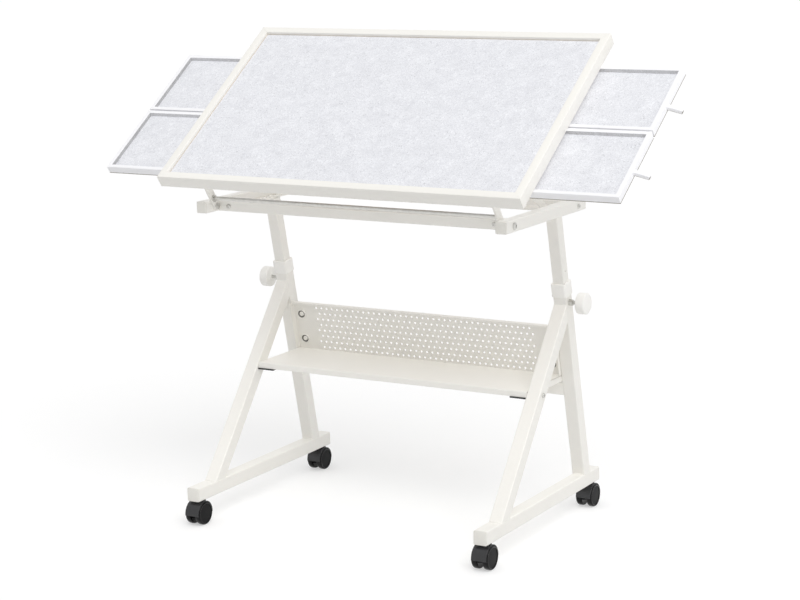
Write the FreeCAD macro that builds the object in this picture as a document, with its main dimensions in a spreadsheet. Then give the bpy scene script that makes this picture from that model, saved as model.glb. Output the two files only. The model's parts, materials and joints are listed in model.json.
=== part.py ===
import FreeCAD, Part
import math
import os
import re

import Sketcher
from FreeCAD import Vector

# A puzzle table on casters: two A-shaped side frames, a height-adjusting upper frame,
# a felt-covered top that tilts, and four shallow trays that slide out from under it.
# X runs to the right, Y to the back and Z up. The origin lies on the floor, midway
# between the two side frames and midway along the foot bars. The model stands as in
# use: the top is tilted and the trays are pulled out. All lengths are millimetres and
# all angles are degrees.

SIZES = {
    # casters
    "wheel_diameter": 50,
    "wheel_width": 13,
    "wheel_spacing": 25,
    "wheel_edge": 3,
    "wheel_dish": 1.2,
    "wheel_dish_diameter": 42,
    "wheel_play": 0.5,
    "axle_diameter": 6,
    "axle_cover": 2,
    "bearing_play": 0.05,
    "caster_trail": 12,
    "front_caster_inset": 32,
    "rear_caster_inset": 15,
    "hood_clearance": 0.8,
    "hood_wall": 1.6,
    "hood_width": 34,
    "hood_skirt": 2,
    "hood_web_diameter": 26,
    "stem_boss_diameter": 18,
    "stem_boss_height": 20,
    "stem_diameter": 8,
    "stem_depth": 13,
    "stem_height": 20,
    "swivel_gap": 0.4,
    "socket_flange": 1.2,
    "socket_flange_diameter": 21,
    "socket_diameter": 14,
    "socket_height": 23,
    # side frames
    "foot_bar_length": 544,
    "foot_tube": 30,
    "foot_corner": 2.5,
    "leg_spacing": 700,
    "leg_tube": 30,
    "leg_corner": 2.5,
    "tube_wall": 1.5,
    "front_leg_inset": 86,
    "front_leg_lean": 38.2,
    "rear_leg_inset": 62,
    "rear_leg_lean": 12.8,
    "rear_leg_length": 450,
    "cap_thick": 3,
    "cap_plug": 12,
    "cap_play": 0.1,
    # height clamp
    "collar_wall": 2.4,
    "collar_sleeve": 25,
    "collar_flange": 4,
    "collar_play": 0.3,
    "clamp_drop": 42,
    "nut_diameter": 14,
    "nut_height": 9,
    "stud_diameter": 7.9,
    "stud_gap": 0.3,
    "stud_reach": 13,
    "stud_in_knob": 9,
    "knob_diameter": 46,
    "knob_thick": 20,
    "knob_round": 3,
    # shelf
    "shelf_height": 231,
    "shelf_sheet": 1.2,
    "shelf_play": 0.5,
    "shelf_overhang": 1,
    "shelf_flange": 13,
    "panel_setback": 7,
    "panel_height": 116,
    "panel_lip": 8,
    "panel_hem": 5,
    "panel_end_flange": 16,
    "panel_flange_lift": 4,
    "hole_diameter": 5,
    "hole_pitch": 13.85,
    "hole_row_pitch": 13.8,
    "hole_first_row": 7,
    "lug_width": 36,
    "lug_height": 24,
    "lug_thick": 3,
    "panel_bolt_inset": 20,
    "panel_bolt_low": 25,
    "panel_bolt_high": 86,
    "shelf_bolt_diameter": 6,
    "bolt_play": 0.1,
    "shelf_bolt_head": 11,
    "shelf_bolt_head_height": 3.5,
    "shelf_nut": 10,
    "shelf_nut_height": 4,
    "shelf_bolt_drop": 7.5,
    "foot_bracket_width": 40,
    "foot_bracket_depth": 24,
    "lower_crossbar_tube": 25,
    "lower_crossbar_drop": 21,
    # upper frame
    "inner_tube": 26,
    "inner_corner": 2.2,
    "tube_reveal": 150,
    "tube_insert": 215,
    "tube_mark": 4,
    "tube_mark_height": 25,
    "bar_spacing": 720,
    "bar_tube": 25,
    "bar_corner": 2,
    "side_bar_length": 374,
    "tube_station": 263,
    "crossbar_tube": 22,
    "front_crossbar_setback": 47,
    "rear_crossbar_setback": 37,
    "crossbar_plug": 20,
    "spigot_reach": 30,
    "spigot_play": 0.2,
    "crossbar_bolt_inset": 26,
    "crossbar_bolt": 6,
    "crossbar_bolt_head": 11,
    "crossbar_bolt_head_height": 3,
    # tilt hinge
    "hinge_inset": 35,
    "hinge_setback": 38,
    "hinge_drop": 83,
    "hinge_bolt": 8,
    "hinge_head": 15,
    "hinge_head_height": 4,
    "hinge_nut": 13,
    "hinge_nut_height": 3.5,
    "hinge_side_play": 0.3,
    "hinge_plate": 4,
    "hinge_arm_width": 20,
    "hinge_flange_length": 70,
    "hinge_flange_width": 22,
    "screw_diameter": 5,
    "screw_head": 9,
    "screw_head_height": 3,
    "screw_pitch": 24,
    "screw_length": 10,
    "tie_rod_diameter": 9,
    "tie_rod_height": 22,
    "tie_shoulder_diameter": 15,
    "tie_shoulder": 4,
    "tilt": 34,
    "tilt_most": 54,
    # tabletop
    "table_width": 864,
    "table_depth": 518,
    "rail_width": 18,
    "rail_height": 28,
    "rail_wall": 1.5,
    "felt_recess": 6,
    "felt_thick": 2,
    "board_thick": 12,
    # trays and their runners
    "tray_setback": 54,
    "tray_back_setback": 70,
    "tray_length": 400,
    "tray_height": 17.5,
    "tray_wall": 9,
    "tray_recess": 4,
    "tray_floor": 3,
    "tray_felt": 2.5,
    "tray_gap": 2.5,
    "tray_out": 180,
    "runner_play": 0.5,
    "runner_web": 3,
    "ledge_play": 0.3,
    "ledge_thick": 2,
    "ledge_reach": 8,
    "middle_batten": 40,
    "pull_diameter": 9,
    "pull_length": 34,
    "pull_droop": 18,
    # prop under the top
    "carrier_x": 330,
    "carrier_width": 16,
    "carrier_height": 20,
    "carrier_wall": 1.5,
    "prop_length": 140,
    "prop_arm": 5,
    "prop_arm_width": 16,
    "prop_pin": 8,
    "prop_rod": 10,
    "prop_rod_end_gap": 1.5,
    "prop_side_play": 0.5,
    "prop_lug": 5,
    "prop_lug_width": 18,
    "rack_thick": 8,
    "rack_play": 0.3,
    "rack_end": 8,
    "tooth_depth": 4,
    # one overrun for all cuts
    "overrun": 1,
}

HOLE_COLUMNS = 40
HOLE_ROWS = 8
RACK_TEETH = 7
PULL_SHARE = 0.42
TOOTH_TIP_SHARE = 0.3
BORE_CORNER_SHARE = 0.6

PLACES = {
    # casters
    "wheel_radius": "wheel_diameter / 2",
    "hood_radius": "wheel_radius + hood_clearance + hood_wall",
    "hood_top": "wheel_radius + hood_radius",
    "wheel_inside": "wheel_spacing / 2 - wheel_width / 2",
    "web_half": "wheel_inside - wheel_play",
    "wheel_outside": "wheel_spacing / 2 + wheel_width / 2",
    "axle_end": "wheel_outside - wheel_dish - axle_cover",
    "stem_radius": "stem_diameter / 2",
    "axle_radius": "axle_diameter / 2",
    # side frames
    "leg_x": "leg_spacing / 2",
    "leg_half": "leg_tube / 2",
    "leg_bore": "leg_tube - 2 * tube_wall",
    "foot_bottom": "hood_top + swivel_gap + socket_flange",
    "foot_top": "foot_bottom + foot_tube",
    "front_leg_y": "-foot_bar_length / 2 + front_leg_inset",
    "rear_leg_y": "foot_bar_length / 2 - rear_leg_inset",
    "clamp_height": "rear_leg_length - clamp_drop",
    "stud_radius": "stud_diameter / 2",
    "nut_bore": "stud_radius + bearing_play",
    "clamp_face": "leg_x + leg_half",
    "knob_face": "clamp_face + nut_height + stud_reach",
    # shelf
    "shelf_z": "foot_top + shelf_height",
    "rear_face_y": "rear_leg_y - leg_half / cos(rear_leg_lean) - tan(rear_leg_lean) * shelf_height",
    "front_face_y": "front_leg_y - leg_half / cos(front_leg_lean) + tan(front_leg_lean) * shelf_height",
    "panel_y": "rear_face_y + panel_setback",
    "panel_foot": "-lower_crossbar_drop / cos(rear_leg_lean)",
    "shelf_half": "leg_x - leg_half - shelf_play",
    "shelf_front": "front_face_y - shelf_overhang",
    "crossbar_low_top": "shelf_z - lower_crossbar_drop",
    "crossbar_low_middle": "crossbar_low_top - lower_crossbar_tube / 2",
    "crossbar_low_y": "rear_leg_y - tan(rear_leg_lean) * (crossbar_low_middle - foot_top)",
    "bolt_hole": "shelf_bolt_diameter / 2 + bolt_play",
    "shelf_bolt_z": "shelf_z - shelf_bolt_drop",
    "shelf_bolt_y": "front_leg_y + tan(front_leg_lean) * (shelf_bolt_z - foot_top)",
    "bracket_top": "shelf_z - shelf_flange",
    "bracket_y": "front_leg_y + tan(front_leg_lean) * (bracket_top - foot_top)",
    # upper frame
    "tube_top": "rear_leg_length + collar_flange + tube_reveal",
    "bar_bottom": "foot_top + tube_top * cos(rear_leg_lean)",
    "bar_top": "bar_bottom + bar_tube",
    "bar_x": "bar_spacing / 2",
    "bar_inside": "bar_x - bar_tube / 2",
    "bar_outside": "bar_x + bar_tube / 2",
    "bar_front": "rear_leg_y - tube_top * sin(rear_leg_lean) - tube_station",
    "bar_back": "bar_front + side_bar_length",
    "front_crossbar_y": "bar_front + front_crossbar_setback + crossbar_tube / 2",
    "rear_crossbar_y": "bar_back - rear_crossbar_setback",
    "crossbar_z": "bar_bottom + crossbar_tube / 2",
    # tilt hinge
    "hinge_y": "bar_front + hinge_inset",
    "hinge_z": "bar_bottom + bar_tube / 2",
    "hinge_bore": "hinge_bolt / 2 + bearing_play",
    "hinge_arm_far": "bar_inside - hinge_side_play",
    "hinge_arm_near": "hinge_arm_far - hinge_plate",
    "hinge_arm_middle": "hinge_arm_far - hinge_plate / 2",
    # tabletop, measured from the hinge axis along the top and square to it
    "top_front": "-hinge_setback",
    "top_back": "table_depth - hinge_setback",
    "top_half": "table_width / 2",
    "inner_half": "top_half - rail_width",
    "rail_bottom": "hinge_drop",
    "rail_top": "hinge_drop + rail_height",
    "board_top": "rail_top - felt_recess - felt_thick",
    "board_bottom": "board_top - board_thick",
    # trays and runners in the same measure
    "tray_top": "rail_bottom - tray_gap",
    "tray_bottom": "tray_top - tray_height",
    "tray_deck": "tray_bottom + tray_recess + tray_floor",
    "ledge_top": "tray_bottom - ledge_play",
    "ledge_bottom": "ledge_top - ledge_thick",
    "tray_room": "table_depth - tray_setback - tray_back_setback",
    "tray_width": "(tray_room - runner_web - 2 * runner_play) / 2",
    "tray_pitch": "tray_width + runner_web + 2 * runner_play",
    "front_tray_y": "top_front + tray_setback",
    "rear_tray_y": "front_tray_y + tray_pitch",
    "trays_back": "rear_tray_y + tray_width",
    "front_web": "front_tray_y - runner_play",
    "middle_web": "front_tray_y + tray_width + runner_play + runner_web / 2",
    "rear_web": "trays_back + runner_play",
    "tray_end": "top_half + tray_out",
    # prop
    "carrier_bottom": "ledge_bottom - carrier_height",
    "prop_y": "hinge_y + prop_length * cos(tilt)",
    "prop_z": "hinge_z + prop_length * sin(tilt)",
    "lug_near": "carrier_x",
    "lug_far": "carrier_x + prop_lug",
    "arm_far": "lug_near - prop_side_play",
    "arm_near": "arm_far - prop_arm",
    "rack_top": "hinge_z - prop_rod / 2 - rack_play",
    "rack_front": "hinge_y + 2 * prop_length * cos(tilt_most) - rack_end",
    "rack_back": "hinge_y + 2 * prop_length + rack_end",
}

# Each frame is an origin and a turn about X, so that slanted pieces are drawn straight.
FRAMES = {
    "floor": ("0", "0", "0", "0"),
    "front_leg": ("0", "front_leg_y", "foot_top", "-front_leg_lean"),
    "rear_leg": ("0", "rear_leg_y", "foot_top", "rear_leg_lean"),
    "panel": ("0", "panel_y", "shelf_z", "rear_leg_lean"),
    "top": ("0", "hinge_y", "hinge_z", "tilt"),
    "prop": ("0", "prop_y", "prop_z", "-tilt"),
}

SIDES = (("left", "-"), ("right", ""))
LAYER = {"x": "YZ_Plane", "y": "XZ_Plane", "z": "XY_Plane"}

doc = FreeCAD.newDocument("PuzzleTable")
sheet = doc.addObject("Spreadsheet::Sheet", "Sizes")
for row, (size_name, size_value) in enumerate(SIZES.items(), start=1):
    sheet.set(f"A{row}", size_name)
    sheet.set(f"B{row}", str(size_value))
    sheet.setAlias(f"B{row}", size_name)
doc.recompute()

nodes = []


# Expressions


def formula(text):
    """Turn the names of sizes and places in a formula into references to the sheet."""
    def swap(found):
        word = found.group()
        if word in PLACES:
            return "(" + formula(PLACES[word]) + ")"
        if word in SIZES:
            return "Sizes." + word
        return word
    return re.sub(r"[a-z_]+", swap, text)


def size(name):
    """Read one size from the sheet."""
    return float(sheet.get(name))


def value(text):
    """Work out a formula as a number."""
    return float(sheet.evalExpression(formula(text)))


def about(middle, width):
    """Span of a width centred on a middle."""
    return (f"({middle}) - ({width}) / 2", f"({middle}) + ({width}) / 2")


def outward(sign, near, far):
    """Span on one side of the middle plane, from a near to a far distance."""
    if sign:
        return (f"-({far})", f"-({near})")
    return (near, far)


def beside(middle, span):
    """Span moved along to a middle."""
    return (f"({middle}) + ({span[0]})", f"({middle}) + ({span[1]})")


def place(item, frame, x, y, z, turn=""):
    """Bind an object's placement to a point of a frame, with a turn in that frame."""
    origin_x, origin_y, origin_z, lean = FRAMES[frame]
    world_x = f"({origin_x}) + ({x})"
    world_y = f"({origin_y}) + ({y}) * cos({lean}) - ({z}) * sin({lean})"
    world_z = f"({origin_z}) + ({y}) * sin({lean}) + ({z}) * cos({lean})"
    rotation = f"rotation(vector(1; 0; 0); {lean})"
    if turn:
        rotation = f"{rotation} * {turn}"
    spot = f"vector({world_x}; {world_y}; {world_z})"
    item.setExpression("Placement", formula(f"placement({spot}; {rotation})"))


# Simple solids and booleans


def box(name, x, y, z, frame="floor"):
    """Block between the low and high ends of three spans."""
    item = doc.addObject("Part::Box", name)
    item.setExpression("Length", formula(f"({x[1]}) - ({x[0]})"))
    item.setExpression("Width", formula(f"({y[1]}) - ({y[0]})"))
    item.setExpression("Height", formula(f"({z[1]}) - ({z[0]})"))
    place(item, frame, x[0], y[0], z[0])
    return item


def rod(name, axis, span, across, radius, frame="floor"):
    """Cylinder along one axis of a frame, through a point given by the other two coordinates."""
    item = doc.addObject("Part::Cylinder", name)
    item.setExpression("Radius", formula(radius))
    item.setExpression("Height", formula(f"({span[1]}) - ({span[0]})"))
    if axis == "x":
        place(item, frame, span[0], across[0], across[1], "rotation(vector(0; 1; 0); 90)")
    if axis == "y":
        place(item, frame, across[0], span[0], across[1], "rotation(vector(1; 0; 0); -90)")
    if axis == "z":
        place(item, frame, across[0], across[1], span[0])
    return item


def cut(name, base, *tools):
    """Take tools away from a base, one after another."""
    for number, tool in enumerate(tools):
        item = doc.addObject("Part::Cut", f"{name}Cut{number}")
        item.Base = base
        item.Tool = tool
        base = item
    return base


def fuse(name, *parts):
    """Join parts that are moulded or welded together."""
    item = doc.addObject("Part::MultiFuse", name)
    item.Shapes = list(parts)
    return item


def common(name, base, tool):
    """Keep what two solids share."""
    item = doc.addObject("Part::Common", name)
    item.Base = base
    item.Tool = tool
    return item


def rounded(name, base, radius, wanted):
    """Round the edges of a solid that a test picks out."""
    doc.recompute()
    item = doc.addObject("Part::Fillet", name)
    item.Base = base
    chosen = [number for number, edge in enumerate(base.Shape.Edges, start=1) if wanted(edge)]
    item.Edges = [(number, radius, radius) for number in chosen]
    return item


def is_ring(radius):
    """Test for a full circular edge of a radius."""
    def test(edge):
        round_edge = isinstance(edge.Curve, Part.Circle)
        return round_edge and abs(edge.Curve.Radius - radius) < Part.Vertex(0, 0, 0).Tolerance
    return test


def node(label, *items):
    """Name a finished piece, or a group of separate pieces of one kind."""
    item = items[0]
    if len(items) > 1:
        item = doc.addObject("Part::Compound", label)
        item.Links = list(items)
    item.Label = label
    nodes.append(item)
    return item


# Bodies made from sketches


def sketch_on(body, axis, span_low):
    """Start a sketch square to an axis of its body, moved along to the low end of a span."""
    item = body.newObject("Sketcher::SketchObject", body.Name + "Sketch")
    plane = [each for each in body.Origin.OriginFeatures if each.Role == LAYER[axis]][0]
    item.AttachmentSupport = [(plane, "")]
    item.MapMode = "FlatFace"
    sign = "-" if axis == "y" else ""
    item.setExpression(".AttachmentOffset.Base.z", formula(f"{sign}({span_low})"))
    return item


def pad_along(body, profile, axis, span):
    """Pad a sketch along its axis, over the length of a span."""
    item = body.newObject("PartDesign::Pad", body.Name + "Pad")
    item.Profile = profile
    item.Reversed = axis == "y"
    item.setExpression("Length", formula(f"({span[1]}) - ({span[0]})"))
    return item


def bound(item, name, constraint, text):
    """Add a sketch constraint and bind it to a formula."""
    constraint.Name = name
    item.addConstraint(constraint)
    item.setExpression("Constraints." + name, formula(text))


def round_section(item, half_wide, half_high, corner):
    """Draw a rectangle with rounded corners, centred on the sketch's origin."""
    wide, high, bend = value(half_wide), value(half_high), value(corner)
    corners = ((wide, -high), (wide, high), (-wide, high), (-wide, -high))
    for number, (x, y) in enumerate(corners):
        before = Vector(*corners[number - 1], 0)
        point = Vector(x, y, 0)
        step = (point - before).normalize() * bend
        item.addGeometry(Part.LineSegment(before + step, point - step), False)
    for number, (x, y) in enumerate(corners):
        middle = Vector(x - math.copysign(bend, x), y - math.copysign(bend, y), 0)
        start = math.radians(90 * (number - 1))
        ring = Part.Circle(middle, Vector(0, 0, 1), bend)
        item.addGeometry(Part.ArcOfCircle(ring, start, start + math.radians(90)), False)
    for number in range(4):
        item.addConstraint(Sketcher.Constraint("Tangent", number, 2, 4 + number, 1))
        item.addConstraint(Sketcher.Constraint("Tangent", 4 + number, 2, (number + 1) % 4, 1))
    for number in range(4):
        item.addConstraint(Sketcher.Constraint("Vertical" if number % 2 else "Horizontal", number))
    for number in range(3):
        item.addConstraint(Sketcher.Constraint("Equal", 4 + number, 5 + number))
    bound(item, "right", Sketcher.Constraint("DistanceX", -1, 1, 1, 1, wide), half_wide)
    bound(item, "left", Sketcher.Constraint("DistanceX", -1, 1, 3, 1, -wide), f"-({half_wide})")
    bound(item, "upper", Sketcher.Constraint("DistanceY", -1, 1, 2, 1, high), half_high)
    bound(item, "lower", Sketcher.Constraint("DistanceY", -1, 1, 0, 1, -high), f"-({half_high})")
    bound(item, "corner", Sketcher.Constraint("Radius", 4, bend), corner)


def bar(name, axis, span, wide, high, corner, middle, frame="floor"):
    """Straight bar with rounded long edges, along one axis, centred on a point of a frame."""
    body = doc.addObject("PartDesign::Body", name)
    profile = sketch_on(body, axis, span[0])
    round_section(profile, f"({wide}) / 2", f"({high}) / 2", corner)
    pad_along(body, profile, axis, span)
    place(body, frame, *middle)
    return body


def tube(name, axis, span, wide, high, wall, corner, middle, frame="floor"):
    """Hollow bar with an even wall."""
    outer = bar(name + "Outside", axis, span, wide, high, corner, middle, frame)
    bore_span = (f"({span[0]}) - overrun", f"({span[1]}) + overrun")
    bore_sizes = (f"({wide}) - 2 * {wall}", f"({high}) - 2 * {wall}")
    inner = bar(name + "Bore", axis, bore_span, *bore_sizes, f"({corner}) * {BORE_CORNER_SHARE}", middle,
                frame)
    return cut(name, outer, inner)


def slab(name, axis, span, outline, frame="floor"):
    """Plate with a straight-sided outline, square to an axis of a frame."""
    body = doc.addObject("PartDesign::Body", name)
    profile = sketch_on(body, axis, span[0])
    points = [Vector(value(across), value(up), 0) for across, up in outline]
    for number, point in enumerate(points):
        profile.addGeometry(Part.LineSegment(point, points[(number + 1) % len(points)]), False)
    for number in range(len(points)):
        following = (number + 1) % len(points)
        profile.addConstraint(Sketcher.Constraint("Coincident", number, 2, following, 1))
    for number, (across, up) in enumerate(outline):
        sideways = Sketcher.Constraint("DistanceX", -1, 1, number, 1, points[number].x)
        bound(profile, f"across{number}", sideways, across)
        upright = Sketcher.Constraint("DistanceY", -1, 1, number, 1, points[number].y)
        bound(profile, f"up{number}", upright, up)
    pad_along(body, profile, axis, span)
    place(body, frame, "0", "0", "0")
    return body


# Casters


def make_caster(name, sign, stem_y):
    """Twin-wheel caster under a foot bar: a hood with its stem, and two wheels on an axle."""
    middle_x = f"{sign}leg_x"
    axle_y = f"({stem_y}) - caster_trail"
    at_axle = (axle_y, "wheel_radius")
    drum = rod(name + "Drum", "x", about(middle_x, "hood_width"), at_axle, "hood_radius")
    shade = box(name + "Shade", about(middle_x, "hood_width + 2 * overrun"),
                about(axle_y, "2 * hood_radius + 2 * overrun"),
                ("wheel_radius - hood_skirt", "hood_top + overrun"))
    shell = common(name + "Shell", drum, shade)
    web = rod(name + "Web", "x", about(middle_x, "2 * web_half"), at_axle, "hood_web_diameter / 2")
    boss = rod(name + "Boss", "z", ("hood_top - stem_boss_height", "hood_top"), (middle_x, stem_y),
               "stem_boss_diameter / 2")
    hood = fuse(name + "Hood", shell, web, boss)
    bays = []
    for side, turn in SIDES:
        bay = beside(middle_x, outward(turn, "web_half", "wheel_outside + overrun"))
        bays.append(rod(f"{name}Bay{side}", "x", bay, at_axle, "wheel_radius + hood_clearance"))
    bays.append(rod(name + "AxleBore", "x", about(middle_x, "2 * web_half + 2 * overrun"), at_axle,
                    "axle_radius + bearing_play"))
    bays.append(rod(name + "StemBore", "z", ("hood_top - stem_depth", "hood_top + overrun"),
                    (middle_x, stem_y), "stem_radius"))
    stem = rod(name + "Stem", "z", ("hood_top - stem_depth", "foot_bottom + stem_height"),
               (middle_x, stem_y), "stem_radius")
    node(f"{name}_caster_hood", cut(name + "HoodOpen", hood, *bays), stem)
    wheels = []
    for side, turn in SIDES:
        width = beside(middle_x, outward(turn, "wheel_inside", "wheel_outside"))
        disc = rod(f"{name}Disc{side}", "x", width, at_axle, "wheel_radius")
        tyre = rounded(f"{name}Tyre{side}", disc, size("wheel_edge"), is_ring(value("wheel_radius")))
        outer = beside(middle_x, outward(turn, "wheel_outside - wheel_dish", "wheel_outside + overrun"))
        dish = rod(f"{name}Dish{side}", "x", outer, at_axle, "wheel_dish_diameter / 2")
        blind = beside(middle_x, outward(turn, "wheel_inside - overrun", "axle_end"))
        bore = rod(f"{name}WheelBore{side}", "x", blind, at_axle, "axle_radius")
        wheels.append(cut(f"{name}Wheel{side}", tyre, dish, bore))
    axle = rod(name + "Axle", "x", about(middle_x, "2 * axle_end"), at_axle, "axle_radius")
    node(f"{name}_caster_wheels", *wheels, axle)


CORNERS = []
for side, sign in SIDES:
    for end, end_sign in (("front", "-"), ("rear", "")):
        stem_y = f"{end_sign}(foot_bar_length / 2 - {end}_caster_inset)"
        CORNERS.append((f"{end}_{side}", sign, stem_y))
for corner_name, sign, stem_y in CORNERS:
    make_caster(corner_name, sign, stem_y)

sockets = []
for corner_name, sign, stem_y in CORNERS:
    at_stem = (f"{sign}leg_x", stem_y)
    barrel = rod(corner_name + "Barrel", "z", ("foot_bottom", "foot_bottom + socket_height"), at_stem,
                 "socket_diameter / 2")
    flange = rod(corner_name + "Flange", "z", ("foot_bottom - socket_flange", "foot_bottom"), at_stem,
                 "socket_flange_diameter / 2")
    solid = fuse(corner_name + "SocketSolid", barrel, flange)
    bore_z = ("foot_bottom - socket_flange - overrun", "foot_bottom + stem_height + swivel_gap")
    bore = rod(corner_name + "SocketBore", "z", bore_z, at_stem, "stem_radius + bearing_play")
    sockets.append(cut(corner_name + "Socket", solid, bore))
node("caster_sockets", *sockets)

# Foot bars with their end caps


def end_cap(name, axis_end, inward, middle_x, middle_z, width, corner):
    """Moulded plug that closes the end of a square tube lying along Y."""
    face = (axis_end, f"({axis_end}) {inward} cap_thick")
    plug = (f"({axis_end}) {inward} cap_thick", f"({axis_end}) {inward} (cap_thick + cap_plug)")
    if inward == "-":
        face = face[::-1]
        plug = plug[::-1]
    plate = bar(name + "Plate", "y", face, width, width, corner, (middle_x, "0", middle_z))
    inside = f"{width} - 2 * tube_wall - 2 * cap_play"
    stub = bar(name + "Stub", "y", plug, inside, inside, f"({corner}) * {BORE_CORNER_SHARE}",
               (middle_x, "0", middle_z))
    return fuse(name, plate, stub)


caps = []
for side, sign in SIDES:
    middle_x = f"{sign}leg_x"
    middle_z = "foot_bottom + foot_tube / 2"
    tube_span = ("-foot_bar_length / 2 + cap_thick", "foot_bar_length / 2 - cap_thick")
    foot = tube(side + "Foot", "y", tube_span, "foot_tube", "foot_tube", "tube_wall", "foot_corner",
                (middle_x, "0", middle_z))
    socket_holes = []
    for corner_name, corner_sign, stem_y in CORNERS:
        if corner_sign == sign:
            socket_holes.append(rod(corner_name + "SocketHole", "z",
                                    ("foot_bottom - overrun", "foot_bottom + tube_wall + overrun"),
                                    (middle_x, stem_y), "socket_diameter / 2"))
    node(f"{side}_foot_bar", cut(side + "FootBored", foot, *socket_holes))
    caps.append(end_cap(side + "CapFront", "-foot_bar_length / 2", "+", middle_x, middle_z, "foot_tube",
                        "foot_corner"))
    rear_cap = end_cap(side + "CapRear", "foot_bar_length / 2", "-", middle_x, middle_z, "foot_tube",
                       "foot_corner")
    around_socket = rod(side + "CapSocketHole", "z", ("foot_bottom - overrun", "foot_top + overrun"),
                        (middle_x, "foot_bar_length / 2 - rear_caster_inset"),
                        "socket_diameter / 2 + cap_play")
    caps.append(cut(side + "CapRearCut", rear_cap, around_socket))
node("foot_bar_end_caps", *caps)

# Legs, clamp nuts and collars

clamp_nuts = []
collars = []
for side, sign in SIDES:
    middle_x = f"{sign}leg_x"
    long_span = ("-leg_tube", "rear_leg_length")
    rear = tube(side + "RearLeg", "z", long_span, "leg_tube", "leg_tube", "tube_wall", "leg_corner",
                (middle_x, "0", "0"), "rear_leg")
    under = box(side + "UnderRear", about(middle_x, "2 * leg_tube"), about("rear_leg_y", "6 * leg_tube"),
                ("foot_top - 2 * leg_tube", "foot_top"))
    stud_hole = rod(side + "StudHole", "x",
                    outward(sign, "clamp_face - tube_wall - overrun", "clamp_face + overrun"),
                    ("0", "clamp_height"), "nut_bore + collar_play", "rear_leg")
    node(f"{side}_rear_leg", cut(side + "RearLegCut", rear, under, stud_hole))

    front_span = ("-2 * leg_tube", "rear_leg_length / cos(front_leg_lean)")
    front = tube(side + "FrontLeg", "z", front_span, "leg_tube", "leg_tube", "tube_wall", "leg_corner",
                 (middle_x, "0", "0"), "front_leg")
    under = box(side + "UnderFront", about(middle_x, "2 * leg_tube"), about("front_leg_y", "8 * leg_tube"),
                ("foot_top - 3 * leg_tube", "foot_top"))
    behind = box(side + "BehindFront", about(middle_x, "2 * leg_tube"),
                 ("-leg_half", "rear_leg_length"), ("-leg_tube", "2 * rear_leg_length"), "rear_leg")
    bolt_hole = rod(side + "LegBoltHole", "x", about(middle_x, "leg_tube + 2 * overrun"),
                    ("shelf_bolt_y", "shelf_bolt_z"), "bolt_hole")
    node(f"{side}_front_leg", cut(side + "FrontLegCut", front, under, behind, bolt_hole))

    nut = rod(side + "ClampNut", "x", outward(sign, "clamp_face", "clamp_face + nut_height"),
              ("0", "clamp_height"), "nut_diameter / 2", "rear_leg")
    thread = rod(side + "ClampThread", "x",
                 outward(sign, "clamp_face - overrun", "clamp_face + nut_height + overrun"),
                 ("0", "clamp_height"), "nut_bore", "rear_leg")
    clamp_nuts.append(cut(side + "ClampNutBored", nut, thread))

    collar_span = ("rear_leg_length - collar_sleeve", "rear_leg_length + collar_flange")
    sleeve = bar(side + "CollarOutside", "z", collar_span, "leg_tube + 2 * collar_wall",
                 "leg_tube + 2 * collar_wall", "leg_corner + collar_wall", (middle_x, "0", "0"), "rear_leg")
    seat = bar(side + "CollarSeat", "z", ("rear_leg_length - collar_sleeve - overrun", "rear_leg_length"),
               "leg_tube", "leg_tube", "leg_corner", (middle_x, "0", "0"), "rear_leg")
    mouth = bar(side + "CollarMouth", "z",
                ("rear_leg_length - overrun", "rear_leg_length + collar_flange + overrun"),
                "inner_tube + 2 * collar_play", "inner_tube + 2 * collar_play", "inner_corner",
                (middle_x, "0", "0"), "rear_leg")
    collars.append(cut(side + "Collar", sleeve, seat, mouth))
node("clamp_nuts", *clamp_nuts)
node("height_collars", *collars)

# Clamp knobs and their studs

for side, sign in SIDES:
    at_clamp = ("0", "clamp_height")
    blank = rod(side + "KnobBlank", "x", outward(sign, "knob_face", "knob_face + knob_thick"), at_clamp,
                "knob_diameter / 2", "rear_leg")
    smooth = rounded(side + "KnobSmooth", blank, size("knob_round"), is_ring(value("knob_diameter / 2")))
    hole = rod(side + "KnobHole", "x", outward(sign, "knob_face - overrun", "knob_face + stud_in_knob"),
               at_clamp, "stud_radius", "rear_leg")
    node(f"{side}_clamp_knob", cut(side + "Knob", smooth, hole))
    tip = "leg_x + inner_tube / 2 + stud_gap"
    node(f"{side}_clamp_stud", rod(side + "Stud", "x", outward(sign, tip, "knob_face + stud_in_knob"),
                                   at_clamp, "stud_radius", "rear_leg"))

# Shelf: back panel with rows of holes, tray, brackets and bolts


def sheet_with_holes(name, frame, half, low, high, thick, holes):
    """Flat sheet of a frame, drawn as one face with round holes and thickened."""
    origin_y, origin_z, lean = (value(text) for text in FRAMES[frame][1:])
    corners = [Vector(-half, 0, low), Vector(half, 0, low), Vector(half, 0, high), Vector(-half, 0, high)]
    wires = [Part.makePolygon(corners + corners[:1])]
    for across, up, radius in holes:
        ring = Part.Circle(Vector(across, 0, up), Vector(0, 1, 0), radius)
        wires.append(Part.Wire(ring.toShape()))
    face = Part.Face(wires, "Part::FaceMakerBullseye")
    item = doc.addObject("Part::Feature", name)
    item.Shape = face.extrude(Vector(0, thick, 0))
    turn = FreeCAD.Rotation(Vector(1, 0, 0), lean)
    item.Placement = FreeCAD.Placement(Vector(0, origin_y, origin_z), turn)
    return item


PANEL_BOLTS = []
for side, sign in SIDES:
    for level in ("low", "high"):
        spot = (f"{sign}(shelf_half - panel_bolt_inset)", f"panel_bolt_{level}")
        PANEL_BOLTS.append((side + level.title(), sign, spot))

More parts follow.
